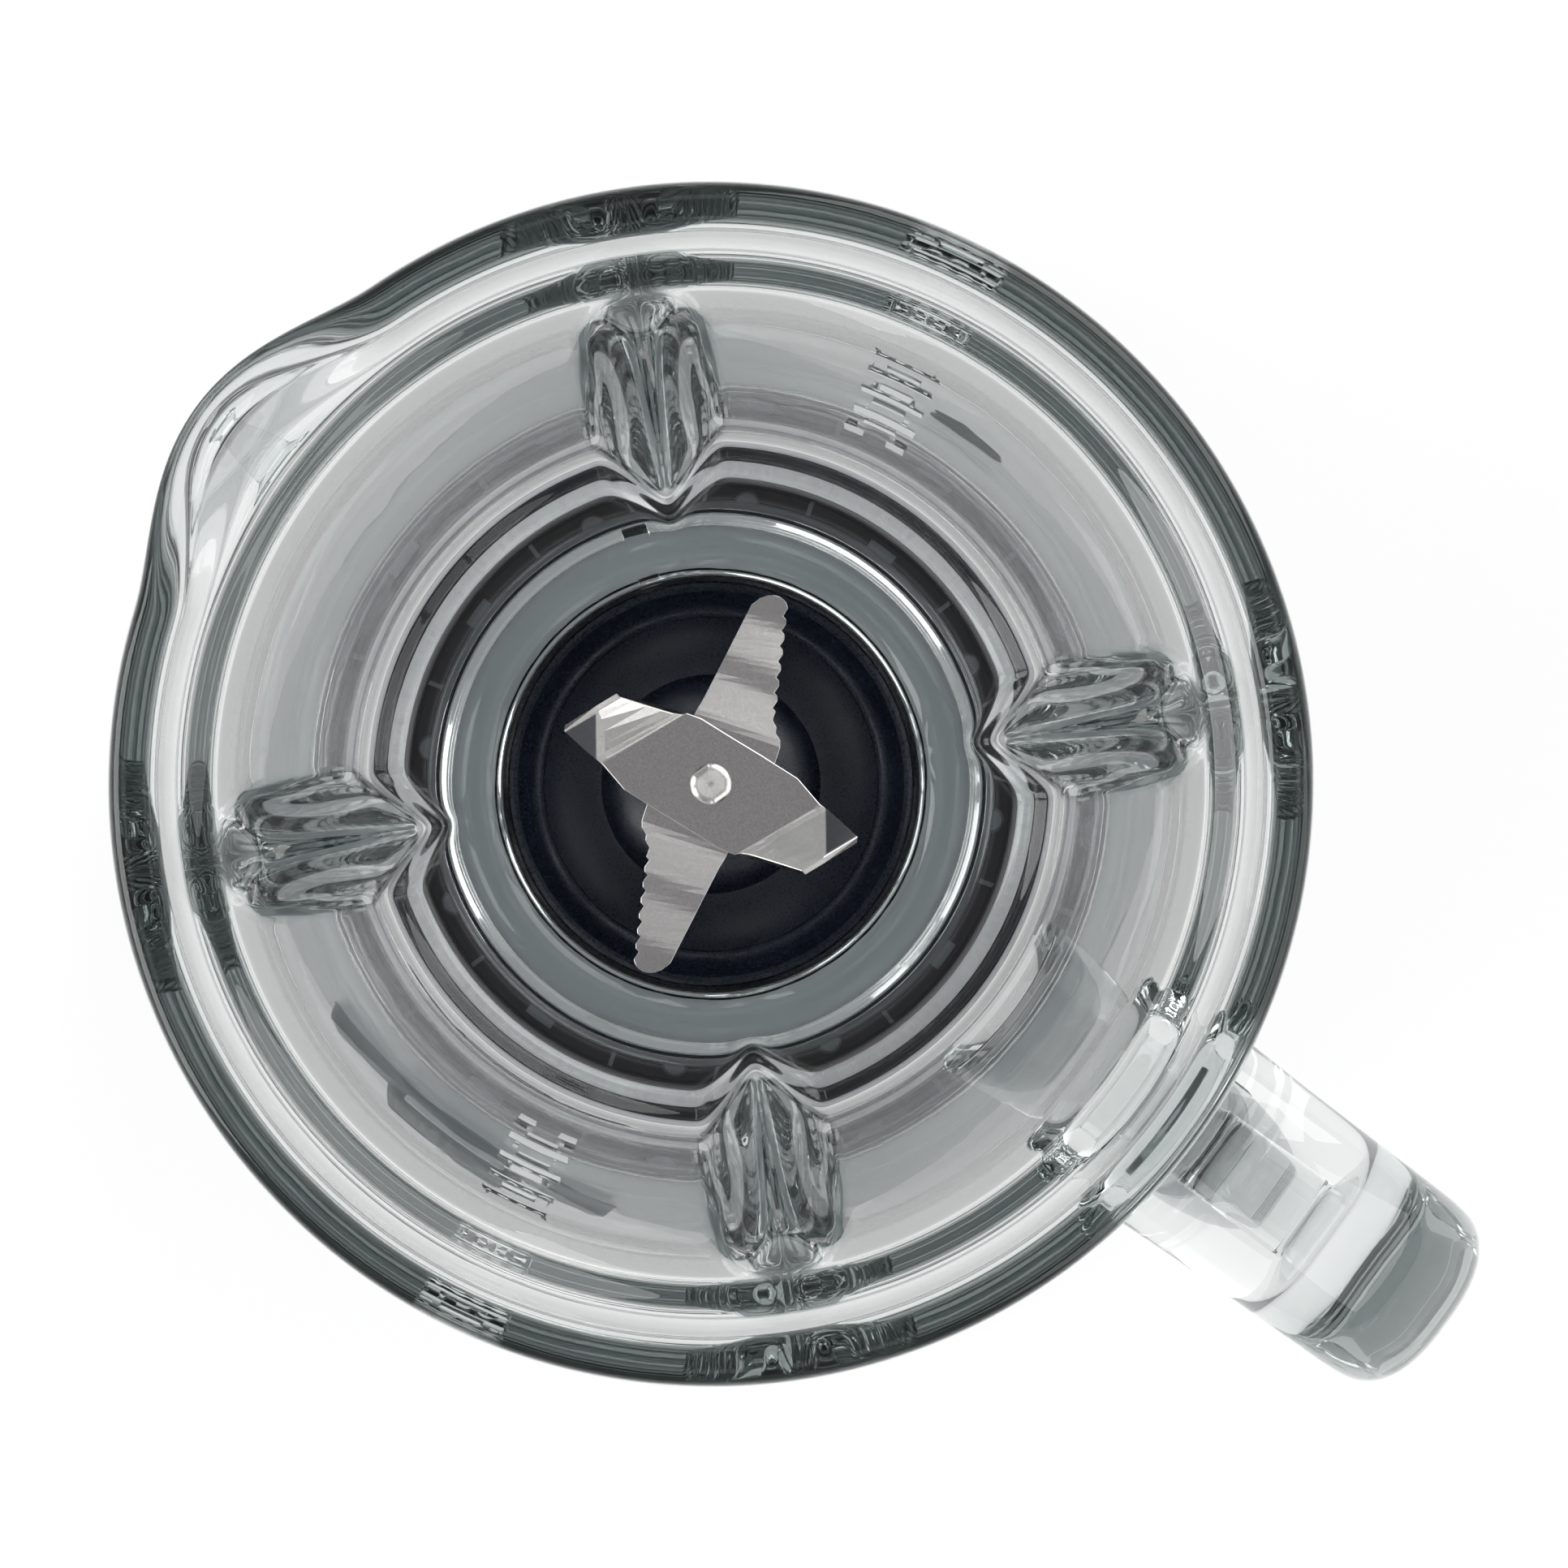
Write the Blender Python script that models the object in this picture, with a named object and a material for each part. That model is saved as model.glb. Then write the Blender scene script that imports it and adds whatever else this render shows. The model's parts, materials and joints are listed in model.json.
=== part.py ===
"""Countertop blender: a ribbed glass jug with a moulded handle, its blade unit and a motor base.

Metres, +Z up. The origin is the centre of the round pad on the underside, on the motor's axis.
+X points at the jug's handle, -X at the spout and -Y at the front panel.
"""
import math

import bmesh
import bpy
from mathutils import Matrix, Vector

MM = 0.001
GAP = 0.3 * MM

# Driving heights above the underside pad. Outlines below are (radius, height) lists in millimetres.
RIM_TOP = 357.0 * MM
WELL_FLOOR = 140.0
WELL_TOP = 154.0
POCKET_FLOOR = 126.0

# Jug: neck radius and features of its wall.
NECK_OUTER = 37.6 * MM
RIB_ANGLES = (45.0, 135.0, 225.0, 315.0)
RIB_HALF_WIDTH = 8.7 * MM
RIDGE_PLATEAU = 1.15
SPOUT_ANGLE = 180.0
SPOUT_HALF_ANGLE = 19.0
HANDLE_WIDTH = 27.0 * MM
HANDLE_THICKNESS = 18.0 * MM
LUG_ANGLES = (4.0, 124.0, 244.0)
LUG_WIDTH = 35.0

# Base: squared lower edge, round at the top.
WELL_RADIUS = 48.0
WELL_WALL = 2.3
FLANGE_THICKNESS = 1.7
POCKET_RADIUS = 24.0
MOTOR_MOUNT_CENTRE = 34.0 * MM
FOOT_RADIUS = 9.0 * MM
FOOT_CENTRE = 70.0 * MM
SCREW_CENTRE = 88.0 * MM
SCREW_HOLE_RADIUS = 2.3 * MM
DIAGONALS = (45.0, 135.0, 225.0, 315.0)
CORNER_NAMES = ("rear_right", "rear_left", "front_left", "front_right")

# Front panel: a plane leaning with the front wall.
PANEL_TILT = math.radians(-8.5)
PANEL_CENTRE = Vector((0.0, -84.2, 62.0)) * MM
KNOB_DROP = -7.0 * MM
BUTTON_RISE = 20.0 * MM

# Motor and blade unit.
BORE_RADIUS = 4.4 * MM
COUPLING_RADIUS = 17.0 * MM
COUPLING_TEETH = 6
BLADE_PLATE = 178.1 * MM
BLADE_STEEL = 1.5 * MM


def clear_scene():
    for old in list(bpy.data.objects):
        bpy.data.objects.remove(old, do_unlink=True)


def material(name, colour, roughness, metallic=0.0, transmission=0.0):
    found = bpy.data.materials.get(name)
    if found:
        return found
    made = bpy.data.materials.new(name)
    made.use_nodes = True
    shader = made.node_tree.nodes["Principled BSDF"]
    shader.inputs["Base Color"].default_value = (*colour, 1.0)
    shader.inputs["Roughness"].default_value = roughness
    shader.inputs["Metallic"].default_value = metallic
    shader.inputs["Transmission Weight"].default_value = transmission
    made.diffuse_color = (*colour, 1.0)
    return made


def clear_glass():
    return material("clear_glass", (0.86, 0.92, 0.91), 0.02, 0.0, 1.0)


def silver_plastic():
    return material("silver_plastic", (0.62, 0.63, 0.64), 0.35, 0.6)


def black_plastic():
    return material("black_plastic", (0.02, 0.021, 0.026), 0.35)


def navy_plastic():
    return material("navy_plastic", (0.012, 0.016, 0.026), 0.28)


def rubber():
    return material("rubber", (0.03, 0.03, 0.03), 0.8)


def silicone():
    return material("silicone", (0.75, 0.78, 0.8), 0.5)


def blade_steel():
    return material("blade_steel", (0.6, 0.59, 0.58), 0.25, 1.0)


def bright_steel():
    return material("bright_steel", (0.65, 0.65, 0.66), 0.2, 1.0)


def lamination_steel():
    return material("lamination_steel", (0.3, 0.31, 0.33), 0.5, 1.0)


def copper():
    return material("copper", (0.72, 0.32, 0.16), 0.35, 1.0)


def brass():
    return material("brass", (0.75, 0.58, 0.26), 0.3, 1.0)


def carbon():
    return material("carbon", (0.04, 0.04, 0.045), 0.6)


def cast_aluminium():
    return material("cast_aluminium", (0.7, 0.7, 0.71), 0.4, 1.0)


def circuit_board():
    return material("circuit_board", (0.03, 0.2, 0.09), 0.5)


def finish_mesh(name, mesh_data, look, smooth_angle=35.0):
    """Close off a bmesh as an object with outward faces and smooth round sides."""
    bmesh.ops.remove_doubles(mesh_data, verts=mesh_data.verts, dist=1e-7)
    bmesh.ops.recalc_face_normals(mesh_data, faces=mesh_data.faces)
    mesh = bpy.data.meshes.new(name)
    mesh_data.to_mesh(mesh)
    mesh_data.free()
    mesh.shade_smooth()
    mesh.set_sharp_from_angle(angle=math.radians(smooth_angle))
    made = bpy.data.objects.new(name, mesh)
    bpy.context.collection.objects.link(made)
    if look:
        mesh.materials.append(look)
    return made


def mm_point(*values):
    return tuple(value * MM for value in values)


def mm_points(points):
    return [mm_point(*point) for point in points]


def turned(name, profile, look, segments=20):
    """Turn a closed (radius, height) outline about Z; a point at radius 0 becomes a pole."""
    mesh = bmesh.new()
    rings = []
    for radius, height in profile:
        if radius == 0.0:
            rings.append([mesh.verts.new((0.0, 0.0, height))])
            continue
        ring = []
        for step in range(segments):
            angle = math.tau * step / segments
            ring.append(mesh.verts.new((radius * math.cos(angle), radius * math.sin(angle), height)))
        rings.append(ring)
    for lower, upper in zip(rings, rings[1:] + rings[:1]):
        join_rings(mesh, lower, upper)
    return finish_mesh(name, mesh, look)


def join_rings(mesh, lower, upper):
    """Skin two rings of points; a single point closes the other ring as a fan."""
    count = max(len(lower), len(upper))
    if len(lower) == 1 and len(upper) == 1:
        return
    for step in range(count):
        after = (step + 1) % count
        corners = []
        for ring, order in ((lower, (step, after)), (upper, (after, step))):
            picks = (0,) if len(ring) == 1 else order
            corners.extend(ring[pick] for pick in picks)
        mesh.faces.new(corners)


def prism(name, outline, low, high, look):
    """Raise a closed XY outline from one height to another."""
    mesh = bmesh.new()
    bottom = [mesh.verts.new((x, y, low)) for x, y in outline]
    top = [mesh.verts.new((x, y, high)) for x, y in outline]
    mesh.faces.new(bottom)
    mesh.faces.new(top)
    join_rings(mesh, bottom, top)
    return finish_mesh(name, mesh, look)


def block(name, low, high, look, bevel=0.0):
    """Box between two corners, with its edges rounded off by one flat when bevel is given."""
    mesh = bmesh.new()
    size = Vector(high) - Vector(low)
    centre = (Vector(high) + Vector(low)) / 2
    place = Matrix.Translation(centre) @ Matrix.Diagonal((*size, 1.0))
    bmesh.ops.create_cube(mesh, size=1.0, matrix=place)
    if bevel:
        bmesh.ops.bevel(mesh, geom=mesh.edges[:], offset=bevel, segments=1, affect="EDGES")
    return finish_mesh(name, mesh, look)


def sector(name, inner, outer, mid_angle, width_angle, low, high, look=None, steps=4):
    """Upright piece of a ring wall, given by radii in metres and angles in degrees."""
    angles = [math.radians(mid_angle + width_angle * (step / steps - 0.5)) for step in range(steps + 1)]
    outline = [(outer * math.cos(angle), outer * math.sin(angle)) for angle in angles]
    outline += [(inner * math.cos(angle), inner * math.sin(angle)) for angle in reversed(angles)]
    return prism(name, outline, low, high, look)


def boolean(target, tool, operation):
    """Cut a tool from the target, or join it on. The tool stays as a hidden guide."""
    step = target.modifiers.new(tool.name, "BOOLEAN")
    step.operation = operation
    step.object = tool
    step.solver = "EXACT"
    tool.hide_render = True
    tool.display_type = "WIRE"


def cut(target, *tools):
    for tool in tools:
        boolean(target, tool, "DIFFERENCE")


def join(target, *tools):
    for tool in tools:
        boolean(target, tool, "UNION")


def drill(target, radius, low, high, centre=(0.0, 0.0), segments=16):
    """Straight upright hole through the target."""
    tool = turned(f"{target.name}_drill", [(0.0, low), (radius, low), (radius, high), (0.0, high)],
                  None, segments)
    tool.location = (*centre, 0.0)
    cut(target, tool)


def polar(radius, degrees):
    angle = math.radians(degrees)
    return radius * math.cos(angle), radius * math.sin(angle)


def coil_spring(name, radius, wire, turns, length, look, steps=9, sides=4):
    """Round-wire helix along +Z from the origin, as one closed tube."""
    mesh = bmesh.new()
    rings = []
    total = int(turns * steps)
    for step in range(total + 1):
        angle = math.tau * step / steps
        centre = Vector((radius * math.cos(angle), radius * math.sin(angle), length * step / total))
        outward = Vector((math.cos(angle), math.sin(angle), 0.0))
        ring = []
        for side in range(sides):
            turn = math.tau * side / sides
            offset = outward * math.cos(turn) + Vector((0.0, 0.0, 1.0)) * math.sin(turn)
            ring.append(mesh.verts.new(centre + offset * wire))
        rings.append(ring)
    for first, second in zip(rings, rings[1:]):
        join_rings(mesh, first, second)
    mesh.faces.new(rings[0])
    mesh.faces.new(rings[-1])
    return finish_mesh(name, mesh, look)


# ---------------------------------------------------------------- glass jug

def jug_profile():
    """Closed wall outline: radius, depth below the rim, rib depth, spout reach and spout dip, in mm."""
    inside = [
        (31.2, 207.0, 0.0, 0.0, 0.0),
        (31.2, 188.2, 0.0, 0.0, 0.0),
        (33.4, 185.4, 0.3, 0.0, 0.0),
        (38.8, 185.0, 3.2, 0.0, 0.0),
        (45.4, 184.9, 6.4, 0.0, 0.0),
        (48.0, 182.2, 7.6, 0.0, 0.0),
        (50.4, 181.3, 8.2, 0.0, 0.0),
        (51.6, 172.0, 8.6, 0.0, 0.0),
        (55.4, 118.0, 7.5, 0.0, 0.0),
        (60.7, 42.0, 5.4, 0.0, 0.0),
        (62.1, 22.0, 3.0, 0.0, 0.0),
        (62.6, 15.8, 0.0, 0.0, 0.0),
        (63.8, 13.7, 0.0, 0.0, 0.0),
        (66.6, 13.2, 0.0, 0.1, 0.1),
        (67.7, 9.6, 0.0, 1.5, 0.6),
        (68.6, 2.6, 0.0, 4.8, 1.9),
        (69.6, 0.2, 0.0, 5.6, 2.3),
        (72.0, 0.0, 0.0, 5.4, 2.0),
        (74.3, 0.6, 0.0, 4.9, 1.7),
    ]
    outside = [
        (75.0, 4.0, 0.0, 4.5, 0.9),
        (74.7, 9.0, 0.0, 3.6, 0.4),
        (73.4, 14.5, 0.0, 2.2, 0.0),
        (69.3, 28.5, 0.0, 0.2, 0.0),
        (66.7, 43.0, 0.0, 0.0, 0.0),
        (60.8, 118.0, 0.9, 0.0, 0.0),
        (57.4, 167.0, 1.4, 0.0, 0.0),
        (55.0, 181.0, 1.5, 0.0, 0.0),
        (51.0, 187.9, 1.2, 0.0, 0.0),
        (48.5, 190.7, 0.8, 0.0, 0.0),
        (38.2, 191.5, 0.0, 0.0, 0.0),
        (37.6, 207.0, 0.0, 0.0, 0.0),
    ]
    return inside + outside


def jug_angles():
    """Angles round the wall, close together on the ribs and the spout."""
    near_rib = (-12.0, -9.4, -5.4, -1.4, 1.4, 5.4, 9.4, 12.0)
    near_spout = (-26.0, -18.0, -12.0, -6.0, 0.0, 6.0, 12.0, 18.0, 26.0)
    angles = set()
    for rib in RIB_ANGLES:
        angles.update(rib + offset for offset in near_rib)
    for centre in (0.0, 90.0, 270.0):
        angles.update((centre + offset) % 360.0 for offset in (-23.0, -11.5, 0.0, 11.5, 23.0))
    angles.update(SPOUT_ANGLE + offset for offset in near_spout)
    return sorted(angles)


def angle_between(first, second):
    return abs((first - second + 180.0) % 360.0 - 180.0)


def rib_share(angle, radius):
    """1 on the narrow ridge of a V-shaped rib, falling to 0 at its sides."""
    away = min(angle_between(angle, rib) for rib in RIB_ANGLES)
    across = math.radians(away) * radius / RIB_HALF_WIDTH
    return max(0.0, min(1.0, RIDGE_PLATEAU * (1.0 - across)))


def spout_share(angle):
    away = angle_between(angle, SPOUT_ANGLE) / SPOUT_HALF_ANGLE
    return (0.5 + 0.5 * math.cos(math.pi * away)) ** 0.8 if away < 1.0 else 0.0


def jug_point(angle, station):
    radius, depth, rib, reach, dip = mm_points([station])[0]
    wall = radius - rib * rib_share(angle, radius) + reach * spout_share(angle)
    height = RIM_TOP - depth - dip * spout_share(angle)
    x, y = polar(wall, angle)
    return x, y, height


def smooth_path(points, steps):
    """Points on a Catmull-Rom curve through the given 2-D points."""
    padded = [points[0] * 2 - points[1]] + points + [points[-1] * 2 - points[-2]]
    result = []
    for first, start, end, last in zip(padded, padded[1:], padded[2:], padded[3:]):
        for step in range(steps):
            t = step / steps
            result.append(0.5 * (start * 2 + (end - first) * t
                                 + (first * 2 - start * 5 + end * 4 - last) * t ** 2
                                 + (start * 3 - first - end * 3 + last) * t ** 3))
    return result + [points[-1]]


def handle_bar(name, route, flare, foot=()):
    """Solid rounded bar on a path in the XZ plane; the foot gives (height, scale) of closing sections."""
    path = smooth_path([Vector((*point, thick)) * MM for point, thick in zip(route, flare)], 2)
    mesh = bmesh.new()
    rings = []
    for index, station in enumerate(path):
        centre = Vector((station.x, 0.0, station.y))
        before = path[max(index - 1, 0)]
        after = path[min(index + 1, len(path) - 1)]
        along = Vector((after.x - before.x, 0.0, after.y - before.y)).normalized()
        if index == 0:
            along = Vector((math.copysign(1.0, along.x), 0.0, 0.0))
        inward = along.cross(Vector((0.0, 1.0, 0.0)))
        rings.append([mesh.verts.new(centre + Vector((0.0, across, 0.0)) + inward * deep)
                      for across, deep in bar_section(handle_half_width(station.z), station.z)])
    end = path[-1]
    last = rings[-1]
    for height, scale in foot:
        rings.append([mesh.verts.new((end.x + (vert.co.x - end.x) * scale, vert.co.y * scale, height * MM))
                      for vert in last])
    for first, second in zip(rings, rings[1:]):
        join_rings(mesh, first, second)
    mesh.faces.new(rings[0])
    mesh.faces.new(rings[-1])
    return finish_mesh(name, mesh, None)


def handle_grip():
    """Upright grip hanging from an upper arm, with a level lower arm; both arms end inside the wall."""
    grip = handle_bar("handle_grip",
                      ((65.0, 325.0), (82.0, 326.0), (99.5, 322.8), (109.6, 309.0), (110.7, 286.0),
                       (110.7, 240.0), (110.7, 198.0)),
                      (15.5, 11.0, 9.3, 9.2, 9.0, 9.0, 9.0), ((194.6, 0.97), (193.4, 0.90)))
    arm = handle_bar("handle_lower_arm", ((55.6, 201.5), (72.0, 202.6), (90.0, 203.4), (111.0, 203.6)),
                     (13.5, 10.6, 9.6, 9.4))
    join(grip, arm)
    return grip


def handle_half_width(half_depth):
    """The bar is widest where it flares into the wall."""
    return HANDLE_WIDTH / 2 + 0.2 * (half_depth - HANDLE_THICKNESS / 2)


def bar_section(half_width, half_depth, points=14, squareness=2.6):
    """Rounded rectangle as a superellipse."""
    section = []
    for step in range(points):
        angle = math.tau * (step + 0.5) / points
        cosine, sine = math.cos(angle), math.sin(angle)
        section.append((half_width * math.copysign(abs(cosine) ** (2 / squareness), cosine),
                        half_depth * math.copysign(abs(sine) ** (2 / squareness), sine)))
    return section


def glass_jug():
    mesh = bmesh.new()
    angles = jug_angles()
    rings = [[mesh.verts.new(jug_point(angle, station)) for angle in angles] for station in jug_profile()]
    for lower, upper in zip(rings, rings[1:] + rings[:1]):
        join_rings(mesh, lower, upper)
    jug = finish_mesh("glass_jug", mesh, clear_glass())
    join(jug, handle_grip())
    for index, angle in enumerate(LUG_ANGLES):
        join(jug, sector(f"neck_lug_{index}", NECK_OUTER - 1.5 * MM, 41.0 * MM, angle, LUG_WIDTH,
                         151.0 * MM, 155.0 * MM))
    return jug


# ---------------------------------------------------------------- blade unit

def collar():
    """Screw collar under the jug: holds the blade seat against the neck on three inner tabs."""
    foot = WELL_FLOOR + 0.3
    floor = foot + 3.8
    outer = WELL_RADIUS - 1.0
    top = 165.2
    profile = mm_points([(30.0, foot), (outer - 1.2, foot), (outer, foot + 1.3), (outer, 160.5),
                         (outer - 1.4, top), (41.8, top), (41.8, 163.0), (42.6, 162.0), (42.6, floor),
                         (30.0, floor)])
    ring = turned("collar", profile, black_plastic(), 44)
    for index, angle in enumerate(LUG_ANGLES):
        join(ring, sector(f"collar_tab_{index}", 38.7 * MM, 44.0 * MM, angle, LUG_WIDTH,
                          156.0 * MM, 159.4 * MM))
    return ring


def blade_seat():
    """Dished plug that closes the neck, with the bearing hub in its middle."""
    profile = mm_points([(6.4, 141.0), (11.0, 141.0), (11.6, 146.5), (28.0, 146.5), (30.2, 144.4),
                         (40.5, 144.4), (40.5, 147.9), (30.7, 147.9), (30.7, 156.8), (29.4, 157.2),
                         (26.4, 153.0), (21.5, 151.2), (16.8, 151.8), (12.2, 156.8), (9.4, 159.8),
                         (7.5, 160.0), (7.5, 157.9), (6.4, 157.9)])
    return turned("blade_seat", profile, navy_plastic(), 40)


def ring(name, inner, outer, low, high, look, segments=20):
    profile = mm_points([(inner, low), (outer, low), (outer, high), (inner, high)])
    return turned(name, profile, look, segments)


def seat_parts():
    ring("seat_gasket", 31.7, 39.5, 148.2, 149.7, silicone(), 32)
    ring("spindle_bush", 4.4, 6.1, 140.9, 157.6, brass())
    ring("lip_seal", 4.4, 7.1, 158.2, 161.0, rubber())


def blade_spindle():
    profile = mm_points([(0.0, 136.4), (3.0, 136.4), (3.0, 140.6), (4.0, 140.6), (4.0, 176.2),
                         (2.4, 176.2), (2.4, 180.9), (0.0, 180.9)])
    turned("blade_spindle", profile, bright_steel())
    ring("spindle_clip", 3.3, 6.2, 139.6, 140.5, bright_steel())
    cap = mm_points([(0.0, 183.2), (2.2, 183.0), (3.4, 182.2), (3.6, 179.9), (2.7, 179.9), (2.7, 181.2),
                     (0.0, 181.2)])
    turned("blade_nut", cap, bright_steel())


def bent_sheet(name, stations, look):
    """Sheet-metal strip: pairs of edge points in mm, joined along the strip and thickened."""
    mesh = bmesh.new()
    rows = [[mesh.verts.new(Vector(point) * MM) for point in pair] for pair in stations]
    for first, second in zip(rows, rows[1:]):
        mesh.faces.new((first[0], second[0], second[1], first[1]))
    sheet = finish_mesh(name, mesh, look)
    thick = sheet.modifiers.new("thickness", "SOLIDIFY")
    thick.thickness = BLADE_STEEL
    thick.offset = 0.0
    return sheet


def both_ends(half):
    """Half a blade, from its tip in to the middle, completed by its own half turn."""
    other = [((-ax, -ay, az), (-bx, -by, bz)) for (ax, ay, az), (bx, by, bz) in reversed(half)]
    return half + [(second, first) for first, second in other]


def lower_blade_height(reach):
    """Droop of the lower blade along its length, in mm."""
    middle = 177.0
    bend_out = 25.5
    bend_in = 9.0
    droop = math.tan(math.radians(14.0))
    return middle - droop * max(0.0, min(reach, bend_out) - bend_in)


def lower_blade():
    """Long serrated blade: straight back edge, toothed cutting edge."""
    tip = [((29.7, 0.4), (29.3, 2.2)), ((29.0, -0.6), (26.6, 4.3))]
    teeth = 7
    half = list(tip)
    for tooth in range(teeth):
        for part, notch in ((0.0, 0.0), (0.55, 0.9)):
            share = (tooth + part) / teeth
            reach = 27.6 - share * 16.0
            half.append(((reach, -0.9 - share * 4.9 + notch), (reach - 1.2, 4.4 + share * 1.6)))
    half += [((11.4, -7.2), (9.8, 6.1)), ((7.2, -7.3), (7.0, 6.3))]
    stations = [tuple((x, y, lower_blade_height(x)) for x, y in pair) for pair in half]
    blade = bent_sheet("lower_blade", both_ends(stations), blade_steel())
    drill(blade, 2.75 * MM, 174.0 * MM, 180.0 * MM)
    blade.rotation_euler = (0.0, 0.0, math.radians(103.3))
    return blade


def upper_blade():
    """Short blade: a six-sided plate with both ends bent up into wings."""
    flat = BLADE_PLATE / MM + 0.75
    half = [((22.9, 4.9, flat + 13.0), (18.8, -3.6, flat + 13.6)),
            ((20.6, 5.6, flat + 7.6), (15.2, -5.2, flat + 8.0)),
            ((16.1, 6.0, flat), (9.6, -6.3, flat)),
            ((10.4, 7.7, flat), (6.6, -7.4, flat))]
    blade = bent_sheet("upper_blade", both_ends(half), blade_steel())
    drill(blade, 2.75 * MM, 177.0 * MM, 181.0 * MM)
    blade.rotation_euler = (0.0, 0.0, math.radians(3.6))
    return blade


def toothed_disc(name, disc_low, disc_high, teeth_low, teeth_high, phase, bore):
    """Drive coupling half: a disc with upright teeth and a blind bore."""
    bore_low, bore_high = bore
    if bore_low < disc_low + MM:
        profile = [(0.0, bore_high), (BORE_RADIUS, bore_high), (BORE_RADIUS, disc_low),
                   (COUPLING_RADIUS, disc_low), (COUPLING_RADIUS, disc_high), (0.0, disc_high)]
    else:
        profile = [(0.0, disc_low), (COUPLING_RADIUS, disc_low), (COUPLING_RADIUS, disc_high),
                   (BORE_RADIUS, disc_high), (BORE_RADIUS, bore_low), (0.0, bore_low)]
    disc = turned(name, profile, black_plastic(), 30)
    for index in range(COUPLING_TEETH):
        tooth = sector(f"{name}_tooth_{index}", 8.0 * MM, 15.0 * MM,
                       phase + index * 360.0 / COUPLING_TEETH, 24.0, teeth_low, teeth_high, None, 2)
        join(disc, tooth)
    return disc


def couplings():
    overlap = 0.6 * MM
    toothed_disc("driven_coupling", 135.5 * MM, 139.2 * MM, 131.5 * MM, 135.5 * MM + overlap, 30.0,
                 (136.1 * MM, 139.2 * MM))
    toothed_disc("drive_coupling", 127.3 * MM, 131.0 * MM, 131.0 * MM - overlap, 135.0 * MM, 0.0,
                 (127.3 * MM, 130.2 * MM))


# ---------------------------------------------------------------- base shell

def squircle_ring(mesh, height, half_size, squareness, count=48):
    ring_points = []
    for step in range(count):
        angle = math.tau * step / count
        reach = (abs(math.cos(angle)) ** squareness + abs(math.sin(angle)) ** squareness) ** (-1 / squareness)
        radius = half_size * reach
        ring_points.append(mesh.verts.new((radius * math.cos(angle), radius * math.sin(angle), height)))
    return ring_points


def base_housing():
    """Silver shell of the motor base, open below and round at the jug's well."""
    outside = mm_points([(4.8, 86.5), (9.0, 88.5), (30.0, 87.3), (60.0, 84.0), (92.0, 78.0), (118.0, 71.5),
                         (146.0, 65.8), (151.0, 64.4), (152.0, 63.2)])
    outer_shape = (3.0, 3.0, 3.0, 2.9, 2.7, 2.4, 2.05, 2.0, 2.0)
    inside = mm_points([(152.0, 59.3), (148.6, 59.3), (145.6, 62.6), (117.0, 68.8), (91.0, 75.2),
                        (30.0, 84.5), (9.0, 85.7), (4.8, 83.7)])
    inner_shape = (2.0, 2.0, 2.0, 2.4, 2.7, 3.0, 3.0, 3.0)
    mesh = bmesh.new()
    rings = [squircle_ring(mesh, height, half_size, shape)
             for (height, half_size), shape in zip(outside + inside, outer_shape + inner_shape)]
    for lower, upper in zip(rings, rings[1:] + rings[:1]):
        join_rings(mesh, lower, upper)
    shell = finish_mesh("base_housing", mesh, silver_plastic())
    add_screw_bosses(shell)
    cut(shell, facing_front(rounded_plate("panel_opening", 34.3, 30.3, 9.3, -12.0, 12.0, None), 0.0))
    gland_hole = turned("gland_hole", mm_points([(0.0, 75.0), (7.1, 75.0), (7.1, 100.0), (0.0, 100.0)]), None)
    face_rear(gland_hole)
    cut(shell, gland_hole)
    return shell


def add_screw_bosses(shell):
    """A boss with a blind hole for each cover screw, webbed to the nearest corner of the wall."""
    outline = mm_points([(0.0, 5.0), (6.0, 5.0), (6.0, 24.0), (0.0, 24.0)])
    for name, angle in zip(CORNER_NAMES, DIAGONALS):
        centre = polar(SCREW_CENTRE, angle)
        boss = turned(f"screw_boss_{name}", outline, None, 12)
        boss.location = (*centre, 0.0)
        web = block(f"boss_web_{name}", mm_point(86.0, -2.5, 5.5), mm_point(96.6, 2.5, 23.0), None)
        web.rotation_euler = (0.0, 0.0, math.radians(angle))
        join(shell, boss, web)
        drill(shell, SCREW_HOLE_RADIUS, 3.0 * MM, 18.0 * MM, centre, 8)


def face_rear(piece, height=20.0 * MM):
    """Turn a piece made along +Z to point along +Y at the cord inlet's height."""
    piece.rotation_euler = (math.radians(-90.0), 0.0, 0.0)
    piece.location = (0.0, 0.0, height)


def jug_seat():
    """Liner of the well: the jug's collar stands in it, over the coupling's pocket."""
    flange = WELL_TOP - FLANGE_THICKNESS
    behind_well = WELL_RADIUS + WELL_WALL
    under_well = WELL_FLOOR - 3.2
    under_pocket = POCKET_FLOOR - 2.6
    profile = mm_points([(WELL_RADIUS, WELL_TOP), (62.2, WELL_TOP), (62.8, WELL_TOP - 0.8), (62.8, flange),
                         (behind_well, flange), (behind_well, under_well), (26.8, under_well),
                         (26.8, under_pocket), (9.2, under_pocket), (9.2, POCKET_FLOOR),
                         (POCKET_RADIUS, POCKET_FLOOR), (POCKET_RADIUS, WELL_FLOOR),
                         (WELL_RADIUS, WELL_FLOOR)])
    liner = turned("jug_seat", profile, silver_plastic(), 48)
    pillar_outline = mm_points([(0.0, 112.0), (5.0, 112.0), (5.0, 138.0), (0.0, 138.0)])
    for name, angle in zip(CORNER_NAMES, DIAGONALS):
        pillar = turned(f"seat_pillar_{name}", pillar_outline, None, 10)
        pillar.location = (*polar(MOTOR_MOUNT_CENTRE, angle), 0.0)
        join(liner, pillar)
    return liner


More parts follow.
